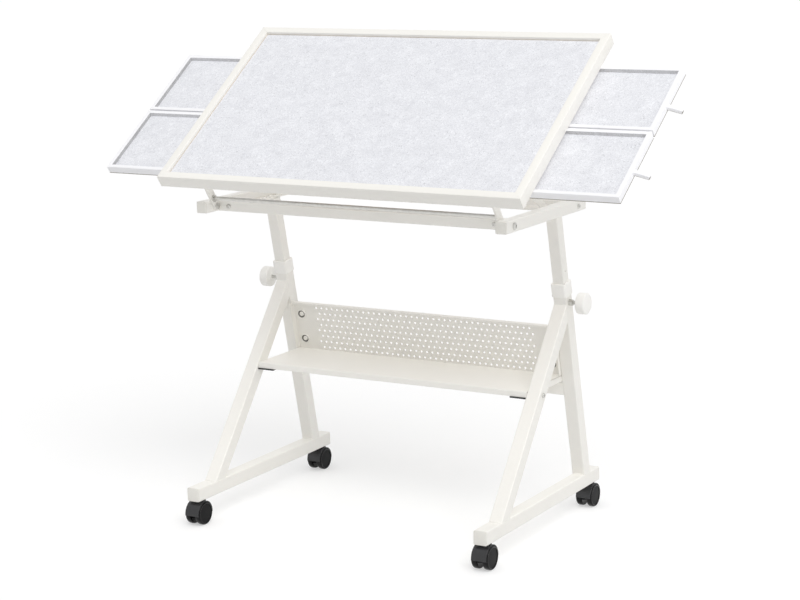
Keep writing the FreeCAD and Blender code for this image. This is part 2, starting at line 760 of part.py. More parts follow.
panel_holes = []
for across, up in (spot for bolt_name, sign, spot in PANEL_BOLTS):
    panel_holes.append((value(across), value(up), value("bolt_hole")))
for line in range(HOLE_ROWS):
    up = size("hole_first_row") + line * size("hole_row_pitch")
    first = ((line + 1) % 2) / 2 - HOLE_COLUMNS / 2 + 1 / 4
    for column in range(HOLE_COLUMNS):
        panel_holes.append(((first + column) * size("hole_pitch"), up, size("hole_diameter") / 2))
panel_sheet = sheet_with_holes("PanelSheet", "panel", value("shelf_half"), value("panel_foot"),
                               size("panel_height"), size("shelf_sheet"), panel_holes)
panel_folds = [box("PanelLip", about("0", "2 * shelf_half"), ("-panel_lip", "0"),
                   ("panel_height - shelf_sheet", "panel_height"), "panel")]
panel_folds.append(box("PanelHem", about("0", "2 * shelf_half"), ("-panel_lip", "shelf_sheet - panel_lip"),
                       ("panel_height - panel_hem", "panel_height"), "panel"))
for side, sign in SIDES:
    panel_folds.append(box(side + "PanelFlange", outward(sign, "shelf_half - shelf_sheet", "shelf_half"),
                           ("-panel_end_flange", "0"), ("panel_flange_lift", "panel_height"), "panel"))
node("shelf_back_panel", fuse("PanelWhole", panel_sheet, *panel_folds))

deck_y = ("shelf_front", "panel_y + leg_tube")
deck = box("ShelfDeck", about("0", "2 * shelf_half"), deck_y, ("shelf_z - shelf_sheet", "shelf_z"))
shelf_parts = [deck]
shelf_parts.append(box("ShelfLip", about("0", "2 * shelf_half"),
                       ("shelf_front", "shelf_front + shelf_sheet"), ("shelf_z - shelf_flange", "shelf_z")))
for side, sign in SIDES:
    shelf_parts.append(box(side + "ShelfFlange", outward(sign, "shelf_half - shelf_sheet", "shelf_half"),
                           deck_y, ("shelf_z - shelf_flange", "shelf_z")))
shelf = fuse("ShelfWhole", *shelf_parts)
past_panel = box("PastPanel", about("0", "2 * leg_spacing"), ("0", "4 * leg_tube"),
                 ("-4 * leg_tube", "4 * leg_tube"), "panel")
flange_holes = []
for side, sign in SIDES:
    flange_holes.append(rod(side + "FlangeHole", "x",
                            outward(sign, "shelf_half - shelf_sheet - overrun", "shelf_half + overrun"),
                            ("shelf_bolt_y", "shelf_bolt_z"), "bolt_hole"))
node("shelf_tray", cut("ShelfTrimmed", shelf, past_panel, *flange_holes))

brackets = []
for side, sign in SIDES:
    brackets.append(box(side + "FootBracket",
                        outward(sign, "leg_x - leg_half - foot_bracket_width", "leg_x - leg_half"),
                        about("bracket_y", "foot_bracket_depth"),
                        ("bracket_top - lug_thick", "bracket_top")))
for bolt_name, sign, spot in PANEL_BOLTS:
    lug = box(bolt_name + "Lug", outward(sign, "leg_x - leg_half - lug_width", "leg_x - leg_half"),
              ("shelf_sheet", "shelf_sheet + lug_thick"), about(spot[1], "lug_height"), "panel")
    hole = rod(bolt_name + "LugHole", "y", ("0", "shelf_sheet + lug_thick + overrun"), spot,
               "bolt_hole", "panel")
    brackets.append(cut(bolt_name + "LugBored", lug, hole))
node("shelf_brackets", *brackets)

shelf_bolts = []
for bolt_name, sign, spot in PANEL_BOLTS:
    back = "shelf_sheet + lug_thick"
    shank = rod(bolt_name + "Shank", "y", ("-shelf_bolt_head_height", f"{back} + shelf_nut_height"), spot,
                "shelf_bolt_diameter / 2", "panel")
    head = rod(bolt_name + "Head", "y", ("-shelf_bolt_head_height", "0"), spot, "shelf_bolt_head / 2",
               "panel")
    nut = rod(bolt_name + "Nut", "y", (back, f"{back} + shelf_nut_height"), spot, "shelf_nut / 2", "panel")
    shelf_bolts.append(fuse(bolt_name + "Bolt", shank, head, nut))
for side, sign in SIDES:
    spot = ("shelf_bolt_y", "shelf_bolt_z")
    inside = "shelf_half - shelf_sheet"
    shank = rod(side + "LegBoltShank", "x",
                outward(sign, f"{inside} - shelf_nut_height", "clamp_face + shelf_bolt_head_height"), spot,
                "shelf_bolt_diameter / 2")
    head = rod(side + "LegBoltHead", "x",
               outward(sign, "clamp_face", "clamp_face + shelf_bolt_head_height"), spot,
               "shelf_bolt_head / 2")
    nut = rod(side + "LegBoltNut", "x", outward(sign, f"{inside} - shelf_nut_height", inside), spot,
              "shelf_nut / 2")
    shelf_bolts.append(fuse(side + "LegBolt", shank, head, nut))
node("shelf_bolts", *shelf_bolts)

node("lower_crossbar", tube("LowerCrossbar", "x", about("0", "2 * (leg_x - leg_half)"),
                            "lower_crossbar_tube", "lower_crossbar_tube", "tube_wall", "leg_corner",
                            ("0", "crossbar_low_y", "crossbar_low_middle")))

# Upper frame: inner tubes, side bars, crossbars, racks and bolts

for side, sign in SIDES:
    middle_x = f"{sign}leg_x"
    inner = tube(side + "InnerTube", "z", ("rear_leg_length - tube_insert", "tube_top + inner_tube"),
                 "inner_tube", "inner_tube", "tube_wall", "inner_corner", (middle_x, "0", "0"), "rear_leg")
    above = box(side + "AboveTube", about(middle_x, "2 * leg_tube"),
                about("hinge_y + tube_station", "8 * leg_tube"), ("bar_bottom", "bar_bottom + 4 * leg_tube"))
    mark_along = "rear_leg_length + collar_flange + tube_mark_height"
    mark = rod(side + "TubeMark", "x",
               outward(sign, "leg_x + inner_tube / 2 - tube_wall - overrun",
                       "leg_x + inner_tube / 2 + overrun"),
               ("0", mark_along), "tube_mark / 2", "rear_leg")
    node(f"{side}_inner_tube", cut(side + "InnerTubeCut", inner, above, mark))

bar_caps = []
for side, sign in SIDES:
    middle = (f"{sign}bar_x", "0", "hinge_z")
    side_tube = tube(side + "SideBar", "y", ("bar_front + cap_thick", "bar_back - cap_thick"), "bar_tube",
                     "bar_tube", "tube_wall", "bar_corner", middle)
    through = (f"{sign}bar_x", "bar_tube + 2 * overrun")
    pivot_hole = rod(side + "PivotHole", "x", about(*through), ("hinge_y", "hinge_z"), "hinge_bolt / 2")
    rear_hole = rod(side + "RearHole", "x", about(*through), ("rear_crossbar_y", "crossbar_z"),
                    "crossbar_bolt / 2")
    drilled = cut(side + "SideBarDrilled", side_tube, pivot_hole, rear_hole)
    spigot_size = "crossbar_tube - 2 * tube_wall - 2 * spigot_play"
    spigot = box(side + "Spigot", outward(sign, "bar_inside - spigot_reach", "bar_inside"),
                 about("front_crossbar_y", spigot_size), about("crossbar_z", spigot_size))
    tapped = cut(side + "SpigotTapped", spigot,
                 rod(side + "SpigotHole", "y", about("front_crossbar_y", "2 * crossbar_tube"),
                     (f"{sign}(bar_inside - crossbar_bolt_inset)", "crossbar_z"), "crossbar_bolt / 2"))
    node(f"{side}_side_bar", fuse(side + "SideBarWhole", drilled, tapped))
    bar_caps.append(end_cap(side + "BarCapFront", "bar_front", "+", f"{sign}bar_x", "hinge_z", "bar_tube",
                            "bar_corner"))
    bar_caps.append(end_cap(side + "BarCapRear", "bar_back", "-", f"{sign}bar_x", "hinge_z", "bar_tube",
                            "bar_corner"))
node("side_bar_end_caps", *bar_caps)

front_tube = tube("FrontCrossbar", "x", about("0", "2 * bar_inside"), "crossbar_tube", "crossbar_tube",
                  "tube_wall", "bar_corner", ("0", "front_crossbar_y", "crossbar_z"))
front_holes = []
for side, sign in SIDES:
    front_holes.append(rod(side + "CrossbarHole", "y", about("front_crossbar_y", "2 * crossbar_tube"),
                           (f"{sign}(bar_inside - crossbar_bolt_inset)", "crossbar_z"), "crossbar_bolt / 2"))
node("front_crossbar", cut("FrontCrossbarDrilled", front_tube, *front_holes))

rear_outside = bar("RearCrossbarOutside", "x", about("0", "2 * bar_inside"), "crossbar_tube",
                   "crossbar_tube", "bar_corner", ("0", "rear_crossbar_y", "crossbar_z"))
rear_inside = bar("RearCrossbarInside", "x", about("0", "2 * (bar_inside - crossbar_plug)"),
                  "crossbar_tube - 2 * tube_wall", "crossbar_tube - 2 * tube_wall", "bar_corner / 2",
                  ("0", "rear_crossbar_y", "crossbar_z"))
rear_holes = []
for side, sign in SIDES:
    rear_holes.append(rod(side + "RearPlugHole", "x",
                          outward(sign, "bar_inside - crossbar_plug - overrun", "bar_inside + overrun"),
                          ("rear_crossbar_y", "crossbar_z"), "crossbar_bolt / 2"))
node("rear_crossbar", cut("RearCrossbarHollow", rear_outside, rear_inside, *rear_holes))

frame_bolts = []
for side, sign in SIDES:
    spot = (f"{sign}(bar_inside - crossbar_bolt_inset)", "crossbar_z")
    face_y = "front_crossbar_y - crossbar_tube / 2"
    shank = rod(side + "FrontBoltShank", "y", (face_y, "front_crossbar_y + crossbar_tube / 2"), spot,
                "crossbar_bolt / 2")
    head = rod(side + "FrontBoltHead", "y", (f"{face_y} - crossbar_bolt_head_height", face_y), spot,
               "crossbar_bolt_head / 2")
    frame_bolts.append(fuse(side + "FrontBolt", shank, head))
    spot = ("rear_crossbar_y", "crossbar_z")
    shank = rod(side + "RearBoltShank", "x", outward(sign, "bar_inside - crossbar_plug", "bar_outside"),
                spot, "crossbar_bolt / 2")
    head = rod(side + "RearBoltHead", "x",
               outward(sign, "bar_outside", "bar_outside + crossbar_bolt_head_height"), spot,
               "crossbar_bolt_head / 2")
    frame_bolts.append(fuse(side + "RearBolt", shank, head))
node("crossbar_bolts", *frame_bolts)

hinge_bolts = []
for side, sign in SIDES:
    spot = ("hinge_y", "hinge_z")
    nut_far = "hinge_arm_near - hinge_side_play"
    nut_near = f"{nut_far} - hinge_nut_height"
    shank = rod(side + "HingeShank", "x", outward(sign, nut_near, "bar_outside + hinge_head_height"), spot,
                "hinge_bolt / 2")
    head = rod(side + "HingeHead", "x", outward(sign, "bar_outside", "bar_outside + hinge_head_height"),
               spot, "hinge_head / 2")
    nut = rod(side + "HingeNut", "x", outward(sign, nut_near, nut_far), spot, "hinge_nut / 2")
    hinge_bolts.append(fuse(side + "HingeBolt", shank, head, nut))
node("hinge_bolts", *hinge_bolts)

racks = []
for side, sign in SIDES:
    outline = [("rack_front", "bar_bottom")]
    for tooth in range(RACK_TEETH):
        start = f"rack_front + (rack_back - rack_front) * {tooth} / {RACK_TEETH}"
        tip = f"rack_front + (rack_back - rack_front) * {tooth + TOOTH_TIP_SHARE} / {RACK_TEETH}"
        outline.append((start, "rack_top"))
        outline.append((tip, "rack_top"))
        outline.append((tip, "rack_top - tooth_depth"))
    outline.append(("rack_back", "rack_top - tooth_depth"))
    outline.append(("rack_back", "bar_bottom"))
    racks.append(slab(side + "Rack", "x", outward(sign, "bar_inside - rack_thick", "bar_inside"), outline))
node("tilt_racks", *racks)

# Tabletop rails, board and felt


def rail(name, outline, bore_outline):
    """Hollow rail with mitred ends."""
    outer = slab(name + "Outside", "z", ("rail_bottom", "rail_top"), outline, "top")
    inner = slab(name + "Bore", "z", ("rail_bottom + rail_wall", "rail_top - rail_wall"), bore_outline,
                 "top")
    return cut(name, outer, inner)


def cross_rail(name, edge, inward):
    """Front or back rail: the outer edge lies at a place along the top."""
    def outline(first, last):
        shape = [(f"-top_half + {first}", f"{edge} {inward} {first}"),
                 (f"top_half - {first}", f"{edge} {inward} {first}"),
                 (f"top_half - {last}", f"{edge} {inward} {last}"),
                 (f"-top_half + {last}", f"{edge} {inward} {last}")]
        return shape
    return rail(name, outline("0", "rail_width"), outline("rail_wall", "(rail_width - rail_wall)"))


def side_rail(name, sign):
    """Left or right rail."""
    inward = "+" if sign else "-"

    def outline(first, last):
        shape = [(f"{sign}top_half {inward} {first}", f"top_front + {first}"),
                 (f"{sign}top_half {inward} {last}", f"top_front + {last}"),
                 (f"{sign}top_half {inward} {last}", f"top_back - {last}"),
                 (f"{sign}top_half {inward} {first}", f"top_back - {first}")]
        return shape
    return rail(name, outline("0", "rail_width"), outline("rail_wall", "(rail_width - rail_wall)"))


node("front_rail", cross_rail("FrontRail", "top_front", "+"))
node("back_rail", cross_rail("BackRail", "top_back", "-"))
for side, sign in SIDES:
    node(f"{side}_rail", side_rail(side + "Rail", sign))
board_y = ("top_front + rail_width", "top_back - rail_width")
board_x = about("0", "2 * inner_half")
node("board_panel", box("Board", board_x, board_y, ("board_bottom", "board_top"), "top"))
node("board_felt", box("Felt", board_x, board_y, ("board_top", "board_top + felt_thick"), "top"))

# Hinge brackets, their screws and the rod that ties them

SCREWS = []
for side, sign in SIDES:
    for end, step in (("Near", "-"), ("Far", "+")):
        SCREWS.append((f"{side}Screw{end}", f"{sign}(hinge_arm_middle {step} screw_pitch)"))
hinge_brackets = []
for side, sign in SIDES:
    arm_x = outward(sign, "hinge_arm_near", "hinge_arm_far")
    arm = box(side + "HingeArm", arm_x, about("0", "hinge_arm_width"), ("0", "hinge_drop - hinge_plate"),
              "top")
    toe = rod(side + "HingeToe", "x", arm_x, ("0", "0"), "hinge_arm_width / 2", "top")
    flange = box(side + "HingeFlange",
                 about(f"{sign}hinge_arm_middle", "hinge_flange_length"),
                 about("0", "hinge_flange_width"), ("hinge_drop - hinge_plate", "hinge_drop"), "top")
    whole = fuse(side + "HingeWhole", arm, toe, flange)
    bore_x = outward(sign, "hinge_arm_near - overrun", "hinge_arm_far + overrun")
    holes = [rod(side + "HingeBore", "x", bore_x, ("0", "0"), "hinge_bore", "top")]
    for screw_name, spot_x in SCREWS:
        if screw_name.startswith(side):
            holes.append(rod(screw_name + "FlangeHole", "z", about("hinge_drop", "4 * hinge_plate"),
                             (spot_x, "0"), "screw_diameter / 2", "top"))
    hinge_brackets.append(cut(side + "HingeBracket", whole, *holes))
node("hinge_brackets", *hinge_brackets)

screws = []
screw_holes = []
for screw_name, spot_x in SCREWS:
    plate_bottom = "hinge_drop - hinge_plate"
    shank = rod(screw_name + "Shank", "z", (plate_bottom, f"{plate_bottom} + screw_length"), (spot_x, "0"),
                "screw_diameter / 2", "top")
    head = rod(screw_name + "Head", "z", (f"{plate_bottom} - screw_head_height", plate_bottom),
               (spot_x, "0"), "screw_head / 2", "top")
    screws.append(fuse(screw_name, shank, head))
    hole_z = ("hinge_drop - overrun", f"{plate_bottom} + screw_length")
    screw_holes.append(rod(screw_name + "BattenHole", "z", hole_z, (spot_x, "0"), "screw_diameter / 2",
                           "top"))
node("bracket_screws", *screws)
rod_parts = [rod("TieRod", "x", about("0", "2 * hinge_arm_near"), ("0", "tie_rod_height"),
                 "tie_rod_diameter / 2", "top")]
for side, sign in SIDES:
    rod_parts.append(rod(side + "TieShoulder", "x",
                         outward(sign, "hinge_arm_near - tie_shoulder", "hinge_arm_near"),
                         ("0", "tie_rod_height"), "tie_shoulder_diameter / 2", "top"))
node("tie_rod", fuse("TieRodWhole", *rod_parts))

# Tray runners under the board

runner_x = about("0", "2 * inner_half")
batten_z = ("rail_bottom", "board_bottom")
web_z = ("ledge_bottom", "board_bottom")
ledge_z = ("ledge_bottom", "ledge_top")
front_runner = fuse("FrontRunner",
                    box("FrontBatten", runner_x, ("top_front + rail_width", "front_web"), batten_z, "top"),
                    box("FrontWeb", runner_x, ("front_web - runner_web", "front_web"), web_z, "top"),
                    box("FrontLedge", runner_x, ("front_web - runner_web", "front_tray_y + ledge_reach"),
                        ledge_z, "top"))
middle_runner = fuse("MiddleRunner",
                     box("MiddleBatten", runner_x, about("middle_web", "middle_batten"), batten_z, "top"),
                     box("MiddleWeb", runner_x, about("middle_web", "runner_web"), web_z, "top"),
                     box("MiddleLedge", runner_x, about("middle_web", "runner_web + 2 * ledge_reach"),
                         ledge_z, "top"))
rear_runner = fuse("RearRunner",
                   box("RearBatten", runner_x, ("rear_web", "top_back - rail_width"), batten_z, "top"),
                   box("RearWeb", runner_x, ("rear_web", "rear_web + runner_web"), web_z, "top"),
                   box("RearLedge", runner_x, ("trays_back - ledge_reach", "rear_web + runner_web"),
                       ledge_z, "top"))
node("tray_runners", cut("FrontRunnerDrilled", front_runner, *screw_holes), middle_runner, rear_runner)

# Carrier bars with the lugs that hold the prop

carriers = []
for side, sign in SIDES:
    carrier = tube(side + "Carrier", "y", ("front_web - runner_web", "rear_web + runner_web"),
                   "carrier_width", "carrier_height", "carrier_wall", "bar_corner",
                   (f"{sign}carrier_x", "0", "carrier_bottom + carrier_height / 2"), "top")
    lug_x = outward(sign, "lug_near", "lug_far")
    plate = box(side + "PropLug", lug_x, about("prop_length", "prop_lug_width"), ("0", "carrier_bottom"),
                "top")
    toe = rod(side + "PropLugToe", "x", lug_x, ("prop_length", "0"), "prop_lug_width / 2", "top")
    bore = rod(side + "PropLugBore", "x", outward(sign, "lug_near - overrun", "lug_far + overrun"),
               ("prop_length", "0"), "prop_pin / 2 + bearing_play", "top")
    carriers.append(cut(side + "CarrierWhole", fuse(side + "CarrierLug", carrier, plate, toe), bore))
node("carrier_bars", *carriers)

# Prop frame: two arms, pivot stubs at the lugs and a rod over the racks

prop_parts = []
for side, sign in SIDES:
    arm_x = outward(sign, "arm_near", "arm_far")
    prop_parts.append(box(side + "PropArm", arm_x, ("0", "prop_length"), about("0", "prop_arm_width"),
                          "prop"))
    for end, along in (("Pin", "0"), ("Rod", "prop_length")):
        prop_parts.append(rod(f"{side}Prop{end}Eye", "x", arm_x, (along, "0"), "prop_arm_width / 2",
                              "prop"))
    prop_parts.append(rod(side + "PropStub", "x", outward(sign, "arm_near", "lug_far + prop_rod_end_gap"),
                          ("0", "0"), "prop_pin / 2", "prop"))
prop_parts.append(rod("PropRod", "x", about("0", "2 * (bar_inside - prop_rod_end_gap)"),
                      ("prop_length", "0"), "prop_rod / 2", "prop"))
node("prop_frame", fuse("PropFrame", *prop_parts))

# Sliding trays with felt floors, and the pulls of the right-hand pair

for side, sign in SIDES:
    tray_x = outward(sign, "tray_end - tray_length", "tray_end")
    inside_x = outward(sign, "tray_end - tray_length + tray_wall", "tray_end - tray_wall")
    for end, start in (("front", "front_tray_y"), ("rear", "rear_tray_y")):
        label = f"{end}_{side}"
        tray_y = (start, f"{start} + tray_width")
        inside_y = (f"{start} + tray_wall", f"{start} + tray_width - tray_wall")
        block = box(label + "TrayBlock", tray_x, tray_y, ("tray_bottom", "tray_top"), "top")
        well = box(label + "TrayWell", inside_x, inside_y, ("tray_deck", "tray_top + overrun"), "top")
        recess = box(label + "TrayRecess", inside_x, inside_y,
                     ("tray_bottom - overrun", "tray_bottom + tray_recess"), "top")
        node(f"{label}_tray", cut(label + "Tray", block, well, recess))
        node(f"{label}_tray_felt", box(label + "TrayFelt", inside_x, inside_y,
                                       ("tray_deck", "tray_deck + tray_felt"), "top"))
        if side == "right":
            pull = doc.addObject("Part::Cylinder", label + "Pull")
            pull.setExpression("Radius", formula("pull_diameter / 2"))
            pull.setExpression("Height", formula("pull_length + pull_diameter"))
            pull_y = f"{start} + tray_width * {PULL_SHARE}"
            place(pull, "top", "tray_end - pull_diameter * cos(pull_droop)", pull_y,
                  "tray_bottom + tray_height / 2 + pull_diameter * sin(pull_droop)",
                  "rotation(vector(0; 1; 0); 90 + pull_droop)")
            inside = box(label + "PullInside", outward(sign, "tray_end - 4 * pull_diameter", "tray_end"),
                         about(pull_y, "4 * pull_diameter"),
                         about("tray_bottom + tray_height / 2", "6 * pull_diameter"), "top")
            node(f"{label}_tray_pull", cut(label + "PullCut", pull, inside))

# Check every object, then write one file for each piece

doc.recompute()
for item in doc.Objects:
    if "Invalid" in item.State or "Error" in item.State:
        raise RuntimeError(f"{item.Name} failed: {item.State}")
os.makedirs("parts", exist_ok=True)
for item in nodes:
    shape = item.Shape
    if shape.isNull() or not shape.isValid():
        raise RuntimeError(f"{item.Label} has no sound shape")
for item in nodes:
    item.Shape.exportStep(f"parts/{item.Label}.step")
print(f"{len(nodes)} pieces written")
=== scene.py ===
"""Looks of a tilting puzzle table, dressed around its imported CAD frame.

Pieces are drawn in millimetres on straight working axes that lean where the real part leans,
and end in metres in the frame's own axes: X to the right, Y to the back, Z up from the floor.
"""

import json
import logging
import math
from collections.abc import Callable, Iterable, Mapping, Sequence
from dataclasses import dataclass
from enum import Enum
from functools import cached_property

import bmesh
import bpy
from mathutils import Matrix, Vector, noise

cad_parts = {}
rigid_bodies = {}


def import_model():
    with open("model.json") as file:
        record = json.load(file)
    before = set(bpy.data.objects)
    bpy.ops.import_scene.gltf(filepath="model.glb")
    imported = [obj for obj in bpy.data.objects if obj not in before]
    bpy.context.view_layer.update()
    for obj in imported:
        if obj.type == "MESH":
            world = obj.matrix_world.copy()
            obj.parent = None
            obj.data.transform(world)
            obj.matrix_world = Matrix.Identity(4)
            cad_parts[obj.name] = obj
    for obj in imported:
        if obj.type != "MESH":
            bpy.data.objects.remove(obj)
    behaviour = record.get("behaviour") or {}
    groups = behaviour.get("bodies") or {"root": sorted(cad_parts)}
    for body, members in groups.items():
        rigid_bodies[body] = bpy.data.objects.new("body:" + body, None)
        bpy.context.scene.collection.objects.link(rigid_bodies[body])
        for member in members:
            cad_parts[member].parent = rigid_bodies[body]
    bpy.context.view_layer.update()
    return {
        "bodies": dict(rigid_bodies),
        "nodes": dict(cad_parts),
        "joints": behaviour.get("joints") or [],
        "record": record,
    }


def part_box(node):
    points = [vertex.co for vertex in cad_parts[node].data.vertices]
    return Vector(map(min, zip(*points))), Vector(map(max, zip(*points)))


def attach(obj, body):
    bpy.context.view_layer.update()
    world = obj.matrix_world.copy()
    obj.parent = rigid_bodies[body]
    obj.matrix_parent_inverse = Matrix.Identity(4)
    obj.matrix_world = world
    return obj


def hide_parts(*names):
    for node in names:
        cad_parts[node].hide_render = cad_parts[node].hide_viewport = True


LOG = logging.getLogger("puzzle_table")
MM = 0.001
TOUCH = 1e-4  # Places closer than this, in millimetres, count as one.

Span = tuple[float, float]
Place = tuple[float, float, float]
Profile = tuple[Span, ...]  # Of an outline to turn: radius, and distance along the axis.
Paint = Callable[[Vector, Vector], int]  # Number of a face's finish, from its middle and normal.
Edge = bmesh.types.BMEdge
Socket = bpy.types.NodeSocket


class Slot(Enum):
    """Material slots of the record."""

    POWDER_COAT = "powder_coat"
    MOULDED_TRIM = "moulded_trim"
    ZINC_STEEL = "zinc_steel"
    BLACK_MOULDING = "black_moulding"
    WOOD_BOARD = "wood_board"
    FELT = "felt"
    TRAY_PLASTIC = "tray_plastic"


class Side(Enum):
    """Left and right half of the table, with the sign of X there."""

    LEFT = -1
    RIGHT = 1

    @property
    def label(self) -> str:
        """Word used in names of nodes and bodies."""
        return self.name.lower()

    def span(self, near: float, far: float) -> Span:
        """Span on this side of the middle plane, lowest end first."""
        low, high = sorted((self.value * near, self.value * far))
        return (low, high)


class Axis(Enum):
    """Direction that a piece runs in, with its number in a vector."""

    X = 0
    Y = 1
    Z = 2

    @property
    def turn(self) -> Matrix:
        """Rotation that carries Z onto this axis."""
        if self is Axis.X:
            return Matrix.Rotation(math.radians(90), 4, "Y")
        if self is Axis.Y:
            return Matrix.Rotation(math.radians(-90), 4, "X")
        return Matrix.Identity(4)

    @property
    def others(self) -> list[int]:
        """Numbers of the two other axes."""
        return [number for number in range(3) if number != self.value]


class LampKind(Enum):
    """Kinds of lamp in the studio, with the name of the size that softens each."""

    SUN = "angle"
    AREA = "size"


@dataclass(frozen=True)
class Stance:
    """Straight working axes that stand at a place and lean about X.

    Attributes:
        y: Place along the depth, in millimetres.
        z: Height above the floor, in millimetres.
        lean: Turn about X, in degrees.
    """

    y: float = 0.0
    z: float = 0.0
    lean: float = 0.0

    def matrix(self) -> Matrix:
        """Carries millimetres in this stance to metres in the frame."""
        place = Matrix.Translation((0, self.y * MM, self.z * MM))
        return place @ Matrix.Rotation(math.radians(self.lean), 4, "X") @ Matrix.Scale(MM, 4)


FLOOR = Stance()
REAR_LEG = Stance(210.0, 84.0, 12.8)
FRONT_LEG = Stance(-186.0, 84.0, -38.2)
PANEL = Stance(149.136, 315.0, 12.8)
TOP = Stance(-151.815, 685.49, 34.0)  # Starts at the hinge axis.


def linear(code: str) -> tuple[float, float, float, float]:
    """Turns an sRGB hex colour into linear values.

    Args:
        code: Six hex digits after a number sign.

    Returns:
        Red, green, blue and an alpha of 1.
    """
    parts = [int(code[start:start + 2], 16) / 255 for start in (1, 3, 5)]
    red, green, blue = (
        part / 12.92 if part <= 0.04045 else ((part + 0.055) / 1.055) ** 2.4 for part in parts)
    return (red, green, blue, 1.0)


def add_node(tree: bpy.types.NodeTree, kind: str, settings: Mapping[str | int, object] | None = None,
             links: Mapping[str | int, Socket] | None = None) -> bpy.types.Node:
    """Adds a node with its settings and links.

    Args:
        tree: Tree that gets the node.
        kind: Type name of the node.
        settings: Properties of the node, or values of its input sockets, by name or number.
        links: Output sockets that feed the node's inputs, by name or number.

    Returns:
        The new node.
    """
    node = tree.nodes.new(kind)
    for name, value in (settings or {}).items():
        if isinstance(name, str) and hasattr(node, name):
            setattr(node, name, value)
        else:
            node.inputs[name].default_value = value
    for name, source in (links or {}).items():
        tree.links.new(source, node.inputs[name])
    return node


@dataclass(frozen=True)
class Grain:
    """Noise on a piece's own coordinates.

    Attributes:
        size: Size of its cells, in millimetres.
        detail: Octaves of finer noise in it.
        rough: Weight of the finer octaves.
        curl: How far it is distorted.
    """

    size: float
    detail: float = 2.0
    rough: float = 0.5
    curl: float = 0.0

    @property
    def settings(self) -> dict[str, float]:
        """Values of the noise's sockets."""
        scale = 1 / (self.size * MM)
        return {"Scale": scale, "Detail": self.detail, "Roughness": self.rough, "Distortion": self.curl}


@dataclass(frozen=True)
class Finish:
    """Surface whose colour drifts between two tones, over a pattern of fine dents.

    Attributes:
        name: Name of the material.
        slot: Slot of the record that it belongs to.
        low: Colour where the drift is low.
        high: Colour where the drift is high.
        roughness: Roughness of the surface.
        drift: Noise that mixes the two colours.
        dents: Noise that dents the surface.
        strength: Strength of the dents.
        depth: Depth of the dents, in metres.
        stretch: Scale of the dents along X, Y and Z.
        ior: Index of refraction, which a metal leaves at its default.
        gloss: Specular level.
        metallic: 1 for bare metal.
        sheen: Weight of the sheen of loose fibres.
        sheen_roughness: Roughness of that sheen.
    """

    name: str
    slot: Slot
    low: str
    high: str
    roughness: float = 0.45
    drift: Grain = Grain(34, 3.0)
    dents: Grain = Grain(1.4)
    strength: float = 0.3
    depth: float = 0.0002
    stretch: Place = (1.0, 1.0, 1.0)
    ior: float = 1.5
    gloss: float = 0.5
    metallic: float = 0.0
    sheen: float = 0.0
    sheen_roughness: float = 0.6

    @cached_property
    def material(self) -> bpy.types.Material:
        """The material, made when a piece first asks for it."""
        material = bpy.data.materials.new(self.name)
        material.use_nodes = True
        tree = material.node_tree
        shader = tree.nodes["Principled BSDF"]
        spot = add_node(tree, "ShaderNodeTexCoord").outputs["Object"]
        stretched = add_node(tree, "ShaderNodeMapping", {"Scale": self.stretch}, {"Vector": spot})
        dents = add_node(tree, "ShaderNodeTexNoise", self.dents.settings,
                         {"Vector": stretched.outputs["Vector"]}).outputs["Fac"]
        bump = add_node(tree, "ShaderNodeBump", {"Strength": self.strength, "Distance": self.depth},
                        {"Height": dents})
        tree.links.new(bump.outputs["Normal"], shader.inputs["Normal"])
        tree.links.new(self.tint(tree, spot, dents), shader.inputs["Base Color"])
        values = {"Roughness": self.roughness, "Specular IOR Level": self.gloss, "Metallic": self.metallic,
                  "Sheen Weight": self.sheen, "Sheen Roughness": self.sheen_roughness}
        if not self.metallic:
            values["IOR"] = self.ior
        for socket, value in values.items():
            shader.inputs[socket].default_value = value
        return material

    def tint(self, tree: bpy.types.NodeTree, spot: Socket, dents: Socket) -> Socket:
        """Adds the colour of the surface.

        Args:
            tree: Tree of the material.
            spot: Coordinates on the piece.
            dents: Noise of the dents; not used here.

        Returns:
            Socket that gives the colour.
        """
        drift = add_node(tree, "ShaderNodeTexNoise", self.drift.settings, {"Vector": spot})
        tone = add_node(tree, "ShaderNodeMix",
                        {"data_type": "RGBA", 6: linear(self.low), 7: linear(self.high)},
                        {0: drift.outputs["Fac"]})
        return tone.outputs[2]


@dataclass(frozen=True)
class PowderCoat(Finish):
    """Polyester powder coat on steel, sprayed and baked: satin, in soft clouds, with a faint orange peel."""

    name: str = "cream_powder_coat"
    slot: Slot = Slot.POWDER_COAT
    low: str = "#F4F2ED"
    high: str = "#F0EEE8"
    roughness: float = 0.42
    drift: Grain = Grain(160)
    # The real peel has cells of about 1 mm, which would not show, so it is drawn coarser.
    dents: Grain = Grain(2.6, 1.0)
    strength: float = 0.25


@dataclass(frozen=True)
class Moulding(Finish):
    """Injection-moulded plastic: the fine grain of a spark-eroded tool, in tones that drift."""

    depth: float = 0.00012
    ior: float = 1.46


@dataclass(frozen=True)
class ZincPlate(Finish):
    """Bright zinc plate on drawn steel: grey, cloudy with crystals, with fine draw lines along X."""

    name: str = "zinc_plated_steel"
    slot: Slot = Slot.ZINC_STEEL
    low: str = "#DCDBD7"
    high: str = "#BFBEBA"
    roughness: float = 0.36
    drift: Grain = Grain(9, 4.0)
    dents: Grain = Grain(0.9)
    strength: float = 0.35
    depth: float = 0.0001
    stretch: Place = (0.06, 1.0, 1.0)
    metallic: float = 1.0


@dataclass(frozen=True)
class Fibreboard(Finish):
    """Medium-density fibreboard, pressed and sanded: tan, with short wood fibres matted every way."""

    name: str = "fibreboard"
    slot: Slot = Slot.WOOD_BOARD
    low: str = "#AF9169"
    high: str = "#C7AC86"
    roughness: float = 0.75
    drift: Grain = Grain(3, 5.0, 0.7, 1.2)
    dents: Grain = Grain(3, 5.0, 0.7, 1.2)


